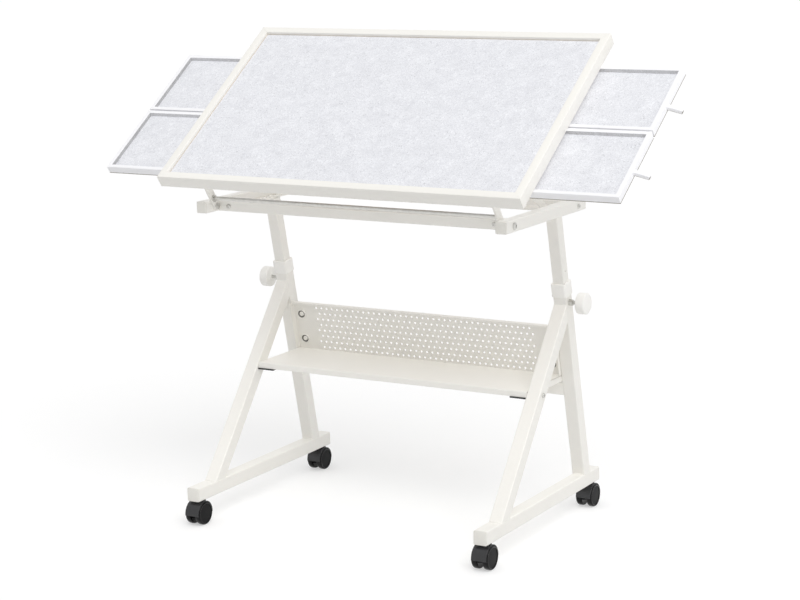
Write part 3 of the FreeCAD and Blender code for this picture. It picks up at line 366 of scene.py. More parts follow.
@dataclass(frozen=True)
class NeedleFelt(Finish):
    """Needle-punched polyester felt: drifts of denser wool, small tufts, and short curled stray hairs.

    Attributes:
        fleck: Colour of the hairs.
        hair: Noise whose middle line the hairs follow.
        tuft_share: Weight of the tufts against the drift.
        wool: Values between which the wool turns from its hollows to its tops.
        hair_width: How far from the middle line a hair reaches.
        broken: Values of the tufts between which a hair comes to the top.
        cover: How much of the wool under it a hair hides.
    """

    name: str = "needle_felt"
    slot: Slot = Slot.FELT
    low: str = "#DDDEE3"
    high: str = "#F4F5F9"
    roughness: float = 1.0
    drift: Grain = Grain(30, 3.0, curl=0.6)
    dents: Grain = Grain(3.6, 4.0, curl=1.2)
    strength: float = 0.5
    depth: float = 0.0006
    gloss: float = 0.15
    sheen: float = 0.12
    fleck: str = "#A8A9AE"
    # Single fibres are 0.03 mm thick, so bundles of them are drawn, a few tenths of a millimetre wide.
    hair: Grain = Grain(8, 2.0, curl=1.6)
    tuft_share: float = 3.4
    wool: Span = (1.7, 2.66)
    hair_width: float = 0.06
    broken: Span = (0.46, 0.6)
    cover: float = 0.8

    def tint(self, tree: bpy.types.NodeTree, spot: Socket, dents: Socket) -> Socket:
        """Adds the colour of the wool, with its hairs on top.

        Args:
            tree: Tree of the material.
            spot: Coordinates on the piece.
            dents: Noise of the tufts.

        Returns:
            Socket that gives the colour.
        """
        drift, curl = (add_node(tree, "ShaderNodeTexNoise", grain.settings, {"Vector": spot}).outputs["Fac"]
                       for grain in (self.drift, self.hair))
        both = add_node(tree, "ShaderNodeMath", {"operation": "MULTIPLY_ADD", 1: self.tuft_share},
                        {0: dents, 2: drift})
        wool = add_node(tree, "ShaderNodeMapRange", {"From Min": self.wool[0], "From Max": self.wool[1]},
                        {"Value": both.outputs[0]})
        tone = add_node(tree, "ShaderNodeMix",
                        {"data_type": "RGBA", 6: linear(self.low), 7: linear(self.high)},
                        {0: wool.outputs["Result"]})
        middle = add_node(tree, "ShaderNodeMath", {"operation": "SUBTRACT", 1: 0.5}, {0: curl})
        away = add_node(tree, "ShaderNodeMath", {"operation": "ABSOLUTE"}, {0: middle.outputs[0]})
        line = add_node(tree, "ShaderNodeMapRange",
                        {"From Max": self.hair_width, "To Min": 1.0, "To Max": 0.0},
                        {"Value": away.outputs[0]})
        broken = add_node(tree, "ShaderNodeMapRange",
                          {"From Min": self.broken[0], "From Max": self.broken[1], "To Max": self.cover},
                          {"Value": dents})
        hairs = add_node(tree, "ShaderNodeMath", {"operation": "MULTIPLY"},
                         {0: line.outputs["Result"], 1: broken.outputs["Result"]})
        flecked = add_node(tree, "ShaderNodeMix", {"data_type": "RGBA", 7: linear(self.fleck)},
                           {0: hairs.outputs[0], 6: tone.outputs[2]})
        return flecked.outputs[2]


COAT = PowderCoat()
BOARD = Fibreboard()
# Darker board tone used as painted shade: the band along a tray's lower edge and the undersides of the pulls.
PAINTED_SHADE_EDGE = Fibreboard("bare_board_edge", low="#8E8880", high="#A7A199")
FELT = NeedleFelt()
# Felt on the trays' inner walls, in greys darker than the board's felt: painted shade, darkest on the end
# walls.
END_WALL_FELT_PAINTED_SHADE = NeedleFelt("felt_wrap", low="#ACACAD", high="#C8C8C9", fleck="#8C8C8A")
LONG_WALL_FELT_PAINTED_SHADE = NeedleFelt("felt_lining", low="#CECED0", high="#E2E2E4", fleck="#A9A8A6")
ZINC = ZincPlate()
# Darker steel painted in the hollow of each panel bolt's cup: painted shade.
PAINTED_SHADE_STEEL = ZincPlate("dull_steel", low="#8A8986", high="#74736F", roughness=0.55)
TRIM = Moulding("cream_abs", Slot.MOULDED_TRIM, "#FBFAF6", "#F7F5F1", roughness=0.4)
CAP = Moulding("cream_polyethylene", Slot.MOULDED_TRIM, "#EAE8E2", "#E5E3DC")
TRAY = Moulding("cool_white_abs", Slot.TRAY_PLASTIC, "#F8F8FA", "#F4F4F7", roughness=0.42)
HOOD = Moulding("black_nylon", Slot.BLACK_MOULDING, "#2C2C2E", "#202022", roughness=0.26,
                dents=Grain(1.8), depth=0.0002, ior=1.53, gloss=0.45)
TREAD = Moulding("black_tread", Slot.BLACK_MOULDING, "#050506", "#030304", roughness=0.22, ior=1.53,
                 gloss=0.2)
DISC = Moulding("dark_grey_nylon", Slot.BLACK_MOULDING, "#0A0A0B", "#070708", roughness=0.4,
                dents=Grain(2.2), depth=0.0003, ior=1.53, gloss=0.1)
SLOT_FINISHES = {finish.slot: finish for finish in (COAT, TRIM, ZINC, HOOD, BOARD, FELT, TRAY)}


def edges_of(verts: Iterable[bmesh.types.BMVert]) -> list[Edge]:
    """Edges at some vertices, each once and always in the same order."""
    return list(dict.fromkeys(edge for vert in verts for edge in vert.link_edges))


def is_level(edge: Edge, axis: Axis) -> bool:
    """Tells whether both ends of an edge have the same place along an axis."""
    first, second = edge.verts
    return abs(first.co[axis.value] - second.co[axis.value]) < TOUCH


def arc(middle: Span, radius: float, first: float, last: float, steps: int) -> list[Span]:
    """Works out points along an arc.

    Args:
        middle: Its centre.
        radius: Its radius.
        first: Angle of the first point, in degrees.
        last: Angle of the last point, in degrees.
        steps: Number of steps between them.

    Returns:
        The points, both ends among them.
    """
    angles = [math.radians(first + (last - first) * step / steps) for step in range(steps + 1)]
    return [(middle[0] + radius * math.cos(angle), middle[1] + radius * math.sin(angle)) for angle in angles]


class Workpiece:
    """A piece in the making: a bmesh in millimetres on the working axes of a stance."""

    def __init__(self, stance: Stance = FLOOR) -> None:
        """Starts an empty piece on the working axes of a stance."""
        self.stance = stance
        self.mesh = bmesh.new()

    def round_edges(self, edges: Iterable[Edge], radius: float, steps: int = 3) -> None:
        """Rounds edges.

        Args:
            edges: Edges to round.
            radius: Radius in millimetres.
            steps: Segments of each rounding.
        """
        bmesh.ops.bevel(self.mesh, geom=list(edges), offset=radius, offset_type="OFFSET", segments=steps,
                        profile=0.5, affect="EDGES", material=-1, clamp_overlap=True)

    def block(self, x: Span, y: Span, z: Span) -> list[Edge]:
        """Adds a block between three spans and gives its edges."""
        spans = (x, y, z)
        middle = Vector([(low + high) / 2 for low, high in spans])
        size = Matrix.Diagonal([high - low for low, high in spans]).to_4x4()
        made = bmesh.ops.create_cube(self.mesh, size=1.0, matrix=Matrix.Translation(middle) @ size)
        return edges_of(made["verts"])

    def bar(self, axis: Axis, span: Span, middle: Sequence[float], wide: float, high: float,
            corner: float, lips: Span = (0.0, 0.0)) -> None:
        """Adds a straight bar with rounded long edges.

        Args:
            axis: Direction that the bar runs in.
            span: Its ends along that axis.
            middle: Centre of its section; the value along the axis is ignored.
            wide: Width of the section along the first other axis.
            high: Width of the section along the second other axis.
            corner: Radius of the long edges.
            lips: Radius of the rim at the low and at the high end.
        """
        spans = [span, span, span]
        for number, size in zip(axis.others, (wide, high), strict=True):
            spans[number] = (middle[number] - size / 2, middle[number] + size / 2)
        old = set(self.mesh.faces)
        edges = self.block(*spans)
        self.round_edges([edge for edge in edges if not is_level(edge, axis)], corner, 4)
        for end, lip in zip(span, lips, strict=True):
            if lip:
                rim = [edge for face in self.mesh.faces if face not in old for edge in face.edges
                       if all(abs(vert.co[axis.value] - end) < TOUCH for vert in edge.verts)]
                self.round_edges(dict.fromkeys(rim), lip)

    def shell(self, axis: Axis, span: Span, middle: Sequence[float], width: float,
              corner: float) -> tuple[list[Edge], list[Edge]]:
        """Adds the four walls of a square bar, open at both ends.

        Args:
            axis: Direction that the bar runs in.
            span: Its ends along that axis.
            middle: Centre of its section; the value along the axis is ignored.
            width: Width of the section both ways.
            corner: Radius of the long edges.

        Returns:
            Edges of the low rim and of the high rim.
        """
        old = set(self.mesh.faces)
        self.bar(axis, span, middle, width, width, corner)
        grown = [face for face in self.mesh.faces if face not in old]
        bmesh.ops.recalc_face_normals(self.mesh, faces=grown)
        ends = [face for face in grown if abs(face.normal[axis.value]) > 0.9]
        rims: tuple[list[Edge], list[Edge]] = ([], [])
        for face in ends:
            high = face.calc_center_median()[axis.value] > sum(span) / 2
            rims[high].extend(face.edges)
        bmesh.ops.delete(self.mesh, geom=ends, context="FACES_ONLY")
        return rims

    def rod(self, axis: Axis, span: Span, middle: Sequence[float], radius: float, edge: float = 0.0,
            facets: int = 40) -> None:
        """Adds a cylinder, or a prism where it has few facets.

        Args:
            axis: Direction that the rod runs in.
            span: Its ends along that axis.
            middle: A point on its axis; the value along the axis is ignored.
            radius: Its radius, to the corners of a prism.
            edge: Radius of the rims at its ends.
            facets: Number of sides.
        """
        centre = Vector(middle)
        centre[axis.value] = sum(span) / 2
        made = bmesh.ops.create_cone(
            self.mesh, cap_ends=True, segments=facets, radius1=radius, radius2=radius,
            depth=span[1] - span[0], matrix=Matrix.Translation(centre) @ axis.turn)
        if edge:
            self.round_edges([side for side in edges_of(made["verts"]) if is_level(side, axis)], edge)

    def lathe(self, axis: Axis, base: Sequence[float], profile: Sequence[Span], outward: float,
              steps: int) -> None:
        """Adds a turned shape.

        Args:
            axis: Axis that the profile is spun about.
            base: Point of the axis that the profile is measured from.
            profile: Radius and distance along the axis, point by point.
            outward: Sign of the distances along the axis.
            steps: Number of facets round the axis.
        """
        start = Vector(base)
        direction = axis.turn @ Vector((0, 0, outward))
        side = axis.turn @ Vector((1, 0, 0))
        verts = [self.mesh.verts.new(start + direction * along + side * radius) for radius, along in profile]
        edges = [self.mesh.edges.new(pair) for pair in zip(verts, verts[1:])]
        bmesh.ops.spin(self.mesh, geom=verts + edges, cent=start, axis=direction, angle=math.tau,
                       steps=steps, use_merge=True, use_duplicate=False)
        bmesh.ops.remove_doubles(self.mesh, verts=self.mesh.verts, dist=1e-3)

    def plate(self, axis: Axis, span: Span, outline: Sequence[Span], edge: float = 0.0) -> None:
        """Adds a flat plate of any outline.

        Args:
            axis: Direction of its thickness.
            span: Its faces along that axis.
            outline: Corner points, on the two other axes in X, Y, Z order.
            edge: Radius of the rims of its two faces.
        """
        corners = []
        for point in outline:
            spot = Vector((span[0], span[0], span[0]))
            for number, place in zip(axis.others, point, strict=True):
                spot[number] = place
            corners.append(self.mesh.verts.new(spot))
        face = self.mesh.faces.new(corners)
        grown = bmesh.ops.extrude_face_region(self.mesh, geom=[face])["geom"]
        moved = [item for item in grown if isinstance(item, bmesh.types.BMVert)]
        shift = Vector((0, 0, 0))
        shift[axis.value] = span[1] - span[0]
        bmesh.ops.translate(self.mesh, verts=moved, vec=shift)
        if edge:
            rims = [side for side in edges_of(corners + moved) if is_level(side, axis)]
            self.round_edges(rims, edge, 2)

    def cut_away(self, point: Sequence[float], normal: Sequence[float]) -> None:
        """Cuts off what lies beyond a plane and closes the cut.

        Args:
            point: A point of the plane.
            normal: Direction of the side that goes.
        """
        parts = [*self.mesh.verts, *self.mesh.edges, *self.mesh.faces]
        cut = bmesh.ops.bisect_plane(self.mesh, geom=parts, dist=1e-5, plane_co=Vector(point),
                                     plane_no=Vector(normal), clear_outer=True)["geom_cut"]
        rim = [item for item in cut if isinstance(item, Edge)]
        bmesh.ops.holes_fill(self.mesh, edges=rim, sides=0)

    def finish(self, name: str, body: str, finishes: Sequence[Finish], replaces: Sequence[str] = (),
               paint: Paint | None = None, sharp: float = 38.0) -> None:
        """Turns the piece into an object that rides on a body.

        Args:
            name: Name of the piece.
            body: Body of the frame that it rides on.
            finishes: Its finishes, in the order that the paint numbers them.
            replaces: Nodes of the frame that it stands for.
            paint: Picks the finish of a face from its middle and normal on the working axes.
            sharp: Angle in degrees above which an edge stays sharp.
        """
        bmesh.ops.recalc_face_normals(self.mesh, faces=self.mesh.faces)
        if paint:
            self.mesh.normal_update()
            for face in self.mesh.faces:
                face.material_index = paint(face.calc_center_median(), face.normal)
        self.mesh.transform(self.stance.matrix())
        data = bpy.data.meshes.new(name)
        self.mesh.to_mesh(data)
        self.mesh.free()
        for finish in finishes:
            data.materials.append(finish.material)
        data.shade_smooth()
        data.set_sharp_from_angle(angle=math.radians(sharp))
        piece = bpy.data.objects.new(name, data)
        bpy.context.scene.collection.objects.link(piece)
        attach(piece, body)
        if replaces:
            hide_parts(*replaces)
        LOG.info("%s rides on %s", name, body)


def add_caps(work: Workpiece, middle: Sequence[float], tube: float, ends: Span, corner: float,
             thick: float = 3.0, lips: Span = (1.3, 0.25)) -> None:
    """Adds the two caps of a square tube that runs along Y.

    Args:
        work: Piece that gets them.
        middle: Centre of the tube's section.
        tube: Width of the tube.
        ends: Outer faces of the caps.
        corner: Radius of their long edges.
        thick: Thickness of a cap.
        lips: Radius of its rim outside, and where it meets the tube.
    """
    low, high = ends
    work.bar(Axis.Y, (low, low + thick), middle, tube, tube, corner, lips)
    work.bar(Axis.Y, (high - thick, high), middle, tube, tube, corner, lips[::-1])


def lay_felt(name: str, body: str, node: str, x: Span, y: Span, z: Span, cell: float) -> None:
    """Lays a sheet of felt whose top is slightly uneven and whose edge is rolled down.

    Args:
        name: Name of the piece.
        body: Body that it rides on.
        node: Node of the frame that it stands for.
        x: Span along the top's X.
        y: Span along the top's Y.
        z: Span of its thickness.
        cell: Size of the mesh's cells, in millimetres.
    """
    wave, wave_scale, roll = 0.18, 0.02, 0.3
    work = Workpiece(TOP)
    wide, deep, thick = x[1] - x[0], y[1] - y[0], z[1] - z[0]
    place = Matrix.Translation((sum(x) / 2, sum(y) / 2, z[1])) @ Matrix.Diagonal((wide / 2, deep / 2, 1, 1))
    bmesh.ops.create_grid(work.mesh, x_segments=round(wide / cell), y_segments=round(deep / cell), size=1,
                          matrix=place)
    for vert in work.mesh.verts:
        border = min(vert.co.x - x[0], x[1] - vert.co.x, vert.co.y - y[0], y[1] - vert.co.y)
        vert.co.z += noise.noise(Vector((vert.co.x, vert.co.y, 0)) * wave_scale) * wave - wave
        if border < cell / 2:
            vert.co.z -= thick * roll
    rim = [edge for edge in work.mesh.edges if edge.is_boundary]
    for item in bmesh.ops.extrude_edge_only(work.mesh, edges=rim)["geom"]:
        if isinstance(item, bmesh.types.BMVert):
            item.co.z = z[0]
    bmesh.ops.holes_fill(work.mesh, edges=[edge for edge in work.mesh.edges if edge.is_boundary], sides=0)
    work.finish(name, body, [FELT], [node], sharp=50)


@dataclass(frozen=True)
class Bolt:
    """Pan-head bolt with a round driver recess, and a hexagon nut at its far end.

    Attributes:
        length: Length under the head.
        radius: Radius of the head.
        height: Height of the head.
        shank: Radius of the shank.
        nut: Radius across the corners and height of the nut, or nothing.
        proud: How far the shank stands out of its nut.
        bevel: Bevel of the shank's end and of the nut.
        outline: Outline of the head, from the recess outwards, in shares of its radius and height.
    """

    length: float
    radius: float = 5.5
    height: float = 3.5
    shank: float = 3.0
    nut: Span | None = None
    proud: float = 0.6
    bevel: float = 0.5
    outline: Profile = ((0, 0.45), (0.336, 0.45), (0.42, 0.6), (0.42, 0.98), (0.504, 1), (0.62, 0.97),
                        (0.84, 0.8), (0.97, 0.45), (1, 0.12), (0.98, 0))

    def add(self, work: Workpiece, axis: Axis, face: Sequence[float], outward: float) -> None:
        """Adds the bolt to a piece.

        Args:
            work: Piece that gets the bolt.
            axis: Direction of the bolt.
            face: Point where the underside of the head meets its axis.
            outward: Sign of the head's direction along the axis.
        """
        tip = self.length + (self.proud if self.nut else 0.0)
        head = [(across * self.radius, along * self.height) for across, along in self.outline]
        tail = [(self.shank, 0.0), (self.shank, self.bevel - tip), (self.shank - self.bevel, -tip), (0, -tip)]
        work.lathe(axis, face, head + tail, outward, 28)
        if self.nut:
            across, thick = self.nut
            end = face[axis.value] - outward * self.length
            low, high = sorted((end, end + outward * thick))
            work.rod(axis, (low, high), face, across, self.bevel, 6)


@dataclass(frozen=True)
class Lamp:
    """A lamp of the studio.

    Attributes:
        name: Its name.
        kind: Its kind.
        strength: Its strength, in watts for an area lamp.
        spread: Angle of a sun in radians, or side of an area lamp in metres.
        towards: Direction that its light travels in.
        place: Its place in metres.
        bare: Whether it lifts the tones only, with no shadows and no highlights.
    """

    name: str
    kind: LampKind
    strength: float
    spread: float
    towards: Place
    place: Place = (0.0, 0.0, 3.0)
    bare: bool = False

    def hang(self) -> None:
        """Hangs the lamp."""
        data = bpy.data.lights.new(self.name, self.kind.name)
        data.energy = self.strength
        data.use_shadow = not self.bare
        setattr(data, self.kind.value, self.spread)
        lamp = bpy.data.objects.new(self.name, data)
        lamp.visible_glossy = not self.bare
        lamp.location = self.place
        lamp.rotation_mode = "QUATERNION"
        lamp.rotation_quaternion = Vector(self.towards).to_track_quat("-Z", "Y")
        bpy.context.scene.collection.objects.link(lamp)


@dataclass(frozen=True)
class Studio:
    """White room with an even sky, a pale floor, a soft key light, a lift and a light from the right."""

    sky: float = 0.54
    lamps: tuple[Lamp, ...] = (
        Lamp("key_light", LampKind.SUN, 0.88, math.radians(40), (-0.45, 0.43, -0.78)),
        Lamp("lift_light", LampKind.SUN, 0.8, math.radians(20), (-0.35, 0.35, -0.87), bare=True),
        Lamp("side_light", LampKind.AREA, 2.1, 0.9, (-1.5, -0.1, -0.4), (1.5, 0.1, 1.3), bare=True),
    )
    floor_size: float = 120.0  # Metres.
    floor_colour: str = "#E6E6E6"
    floor_glow: float = 0.235

    def add_look(self, tree: bpy.types.NodeTree) -> Socket:
        """Adds what is 1 for the camera, for gloss and through glass, and 0 for the light on the object.

        Args:
            tree: Tree of the world or the floor.

        Returns:
            Socket that gives the 1 or 0.
        """
        ray = add_node(tree, "ShaderNodeLightPath")
        look = ray.outputs["Is Camera Ray"]
        for kind in ("Is Glossy Ray", "Is Transmission Ray"):
            look = add_node(tree, "ShaderNodeMath", {"operation": "MAXIMUM"},
                            {0: look, 1: ray.outputs[kind]}).outputs[0]
        return look

    def light_world(self) -> None:
        """Lights the object evenly, in a room that looks plain white."""
        world = bpy.data.worlds.new("white_room")
        bpy.context.scene.world = world
        world.use_nodes = True
        tree = world.node_tree
        tree.nodes.clear()
        even, white = (add_node(tree, "ShaderNodeBackground", {"Color": (1, 1, 1, 1), "Strength": strength})
                       for strength in (self.sky, 1.0))
        mixed = add_node(tree, "ShaderNodeMixShader", None,
                         {0: self.add_look(tree), 1: even.outputs[0], 2: white.outputs[0]})
        add_node(tree, "ShaderNodeOutputWorld", None, {"Surface": mixed.outputs[0]})

    def lay_floor(self) -> None:
        """Lays the floor: nearly white to the camera, with the soft shadows of the table on it."""
        mesh = bmesh.new()
        bmesh.ops.create_grid(mesh, x_segments=1, y_segments=1, size=self.floor_size / 2)
        data = bpy.data.meshes.new("studio_floor")
        mesh.to_mesh(data)
        mesh.free()
        material = bpy.data.materials.new("studio_paper")
        material.use_nodes = True
        tree = material.node_tree
        shader = tree.nodes["Principled BSDF"]
        values = {"Base Color": linear(self.floor_colour), "Roughness": 1.0, "Specular IOR Level": 0.0,
                  "Emission Color": (self.floor_glow, self.floor_glow, self.floor_glow, 1)}
        for socket, value in values.items():
            shader.inputs[socket].default_value = value
        tree.links.new(self.add_look(tree), shader.inputs["Emission Strength"])
        data.materials.append(material)
        floor = bpy.data.objects.new("studio_floor", data)
        bpy.context.scene.collection.objects.link(floor)

    def build(self) -> None:
        """Sets up the room and the plain view transform."""
        bpy.context.scene.view_settings.view_transform = "Standard"
        self.light_world()
        for lamp in self.lamps:
            lamp.hang()
        self.lay_floor()


@dataclass(frozen=True)
class Camera:
    """Camera at the photograph's viewing angle."""

    place: Place = (2.2277, -3.8413, 1.3410)  # Metres.
    yaw: float = 29.89  # Degrees to the left of straight ahead.
    pitch: float = 10.99  # Degrees below the horizon.
    roll: float = -1.08
    lens: float = 94.4

    def build(self) -> None:
        """Makes the camera and sets it as the scene's."""
        yaw, pitch, roll = (math.radians(angle) for angle in (self.yaw, self.pitch, self.roll))
        level = Vector((math.cos(yaw), math.sin(yaw), 0))
        ahead = Vector((-math.sin(yaw), math.cos(yaw), 0))
        forward = ahead * math.cos(pitch) - Vector((0, 0, math.sin(pitch)))
        upright = level.cross(forward)
        right = level * math.cos(roll) + upright * math.sin(roll)
        up = upright * math.cos(roll) - level * math.sin(roll)
        data = bpy.data.cameras.new("photograph_camera")
        data.lens = self.lens
        data.sensor_width = 36.0
        data.clip_end = 200.0
        camera = bpy.data.objects.new("photograph_camera", data)
        turn = Matrix((right, up, -forward)).transposed().to_4x4()
        camera.matrix_world = Matrix.Translation(self.place) @ turn
        bpy.context.scene.collection.objects.link(camera)
        bpy.context.scene.camera = camera


@dataclass(frozen=True)
class Casters:
    """Four twin-wheel casters: turned wheels under hoods with a rolled lip."""

    leg_x: float = 350.0
    stems: tuple[tuple[str, float], ...] = (("front", -240.0), ("rear", 257.0))
    trail: float = 12.0
    radius: float = 25.0
    outline: Profile = (
        (0.0, 6.0), (8.0, 6.0), (8.6, 6.7), (20.0, 6.7), (22.0, 6.2), (24.1, 6.9), (25.0, 9.0), (25.0, 16.0),
        (24.6, 17.5), (23.7, 18.6), (22.4, 19.0), (21.5, 19.0), (21.0, 18.65), (20.75, 17.8), (17.0, 17.95),
        (10.0, 18.2), (0.0, 18.3),
    )
    disc: Span = (20.9, 17.7)  # Radius of the grey disc, and how far out it begins.
    axle: Span = (3.0, 7.0)  # Radius and half length.
    lip: float = 0.9
    lip_ring: float = 26.725
    lip_across: float = 16.46
    lip_start: float = -2.0  # Degrees from the level of the axle.

    def build(self) -> None:
        """Makes the wheels and the lips of the hoods."""
        for end, stem_y in self.stems:
            for side in Side:
                middle = Vector((side.value * self.leg_x, stem_y - self.trail, self.radius))
                self.make_wheels(f"{end}_{side.label}", middle)
                self.make_lips(f"{end}_{side.label}", middle)

    def make_wheels(self, name: str, middle: Vector) -> None:
        """Turns the two wheels of a caster and their axle.

        Args:
            name: Corner of the table.
            middle: Middle of the axle.
        """
        work = Workpiece()
        for half in Side:
            work.lathe(Axis.X, middle, self.outline, half.value, 56)
        thick, reach = self.axle
        work.rod(Axis.X, (middle.x - reach, middle.x + reach), middle, thick, facets=20)

        def paint(spot: Vector, normal: Vector) -> int:
            """Grey on the outer disc, black on rim and tread."""
            radius, start = self.disc
            inside = math.hypot(spot.y - middle.y, spot.z - middle.z) < radius
            return 1 if inside and abs(spot.x - middle.x) > start else 0

        work.finish(f"{name}_caster_twin_wheels", f"wheels_{name}", [TREAD, DISC], [f"{name}_caster_wheels"],
                    paint)

    def make_lips(self, name: str, middle: Vector) -> None:
        """Rolls the lips along the two edges of a hood's shell.

        Args:
            name: Corner of the table.
            middle: Middle of the axle.
        """
        work = Workpiece()
        start = math.radians(self.lip_start)
        for half in Side:
            hub = middle + Vector((half.value * self.lip_across, 0, 0))
            spot = hub + Vector((0, math.cos(start), math.sin(start))) * self.lip_ring
            ring = bmesh.ops.create_circle(work.mesh, cap_ends=True, segments=10, radius=self.lip,
                                           matrix=Matrix.Translation(spot))["verts"]
            parts = ring + edges_of(ring) + list({face for vert in ring for face in vert.link_faces})
            bmesh.ops.spin(work.mesh, geom=parts, cent=hub, axis=Vector((1, 0, 0)),
                           angle=math.pi - 2 * start, steps=36, use_merge=False, use_duplicate=False)
        work.finish(f"{name}_hood_lips", f"caster_{name}", [HOOD])


@dataclass(frozen=True)
class SideFrames:
    """Trim of the two A-shaped side frames: end caps, weld beads, clamp collars and knobs."""

    leg_x: float = 350.0
    tube: float = 30.0
    foot_half: float = 272.0
    foot_z: float = 69.0
    bead: float = 1.9
    bead_edge: float = 1.2
    bead_inset: float = 3.0
    ripple: float = 0.5
    ripple_scale: float = 0.35
    collar: Span = (425.0, 454.0)
    seat: float = 450.0
    # Width and corner radius of the outside, the sleeve and the mouth.
    collar_widths: tuple[Span, ...] = ((34.8, 4.9), (30.0, 2.5), (26.6, 2.2))
    collar_rims: Span = (0.7, 1.4)
    clamp: float = 408.0  # Distance of the studs from the foot of the leg.
    knob_face: float = 387.0
    knob: Profile = (
        (3.95, 3.0), (3.95, -1.6), (5.4, -2.0), (7.2, -1.7), (7.8, -0.6), (8.6, 0.0), (20.8, 0.0),
        (21.9, 0.35), (22.65, 1.1), (23.0, 2.2), (23.0, 18.0), (22.8, 18.7), (22.3, 19.3), (21.5, 19.6),
        (15.0, 19.88), (0.0, 20.0),
    )
    stud: float = 3.95
    stud_ends: Span = (363.3, 389.8)
    pitch: float = 1.25
    thread: float = 0.5
    nut_face: float = 365.0
    nut: Profile = ((4.0, 0.0), (7.6, 0.0), (7.6, 8.3), (6.4, 9.0), (4.5, 9.0), (4.0, 8.5), (4.0, 0.0))

    def build(self) -> None:
        """Makes all pieces of both side frames."""
        self.make_foot_caps()
        self.make_welds()
        self.make_collars()
        for side in Side:
            self.make_knob(side)
            self.make_stud(side)
        self.make_nuts()

    def make_foot_caps(self) -> None:
        """Moulds the four caps of the foot bars, with soft rims."""
        work = Workpiece()
        for side in Side:
            add_caps(work, (side.value * self.leg_x, 0, self.foot_z), self.tube,
                     (-self.foot_half, self.foot_half), 3.0)
        work.finish("foot_bar_caps", "base", [CAP], ["foot_bar_end_caps"])

    def make_welds(self) -> None:
        """Lays the painted weld beads where the legs meet the foot bars."""
        work = Workpiece()
        reach = self.tube / 2 - self.bead_inset
        for side in Side:
            x = side.value * self.leg_x
            for stance in (FRONT_LEG, REAR_LEG):
                half = self.tube / 2 / math.cos(math.radians(stance.lean)) + 0.3
                for y in (stance.y - half, stance.y + half):
                    work.rod(Axis.X, (x - reach, x + reach), (x, y, stance.z + 0.2), self.bead,
                             self.bead_edge, 12)
        for vert in work.mesh.verts:
            vert.co.z += noise.noise(vert.co * self.ripple_scale) * self.ripple
        work.finish("weld_beads", "base", [COAT])

    def make_collars(self) -> None:
        """Moulds the collars that guide the inner tubes: a sleeve with a closed upper rim."""
        work = Workpiece(REAR_LEG)
        low, high = self.collar
        for side in Side:
            middle = (side.value * self.leg_x, 0, 0)
            outer, sleeve, mouth = (
                work.shell(Axis.Z, span, middle, width, corner)
                for span, (width, corner) in zip(
                    (self.collar, (low, self.seat), (self.seat, high)), self.collar_widths, strict=True))
            for first, second in ((outer[0], sleeve[0]), (sleeve[1], mouth[0]), (mouth[1], outer[1])):
                bmesh.ops.bridge_loops(work.mesh, edges=first + second)
            for rim, rounding in zip(outer[::-1], self.collar_rims[::-1], strict=True):
                work.round_edges(rim, rounding)
        work.finish("clamp_collars", "base", [TRIM], ["height_collars"])

    def make_knob(self, side: Side) -> None:
        """Turns a clamp knob: a thick disc with a soft rim, a faint dome and a short hub."""
        work = Workpiece(REAR_LEG)
        base = (side.value * self.knob_face, 0, self.clamp)
        work.lathe(Axis.X, base, self.knob, side.value, 56)
        work.lathe(Axis.X, base, [self.knob[0], (0.0, self.knob[0][1])], side.value, 56)
        work.finish(f"{side.label}_knob", f"knob_{side.label}", [TRIM], [f"{side.label}_clamp_knob"])

    def make_stud(self, side: Side) -> None:
        """Cuts a clamp stud: a rod with a thread from end to end."""
        work = Workpiece(REAR_LEG)
        start, end = self.stud_ends
        length = end - start
        profile = [(0.0, 0.0), (self.stud - 0.9, 0.0)]
        along = 0.6
        while along < length - 0.8:
            profile += [(self.stud - self.thread, along), (self.stud, along + 0.6)]
            along += self.pitch
        profile += [(self.stud, length), (0.0, length)]
        work.lathe(Axis.X, (side.value * start, 0, self.clamp), profile, side.value, 24)
        work.finish(f"{side.label}_stud", f"knob_{side.label}", [ZINC], [f"{side.label}_clamp_stud"])

    def make_nuts(self) -> None:
        """Makes the welded hexagon nuts that the studs run in."""
        work = Workpiece(REAR_LEG)
        for side in Side:
            work.lathe(Axis.X, (side.value * self.nut_face, 0, self.clamp), self.nut, side.value, 6)
        work.finish("weld_nuts", "base", [ZINC], ["clamp_nuts"], sharp=20)


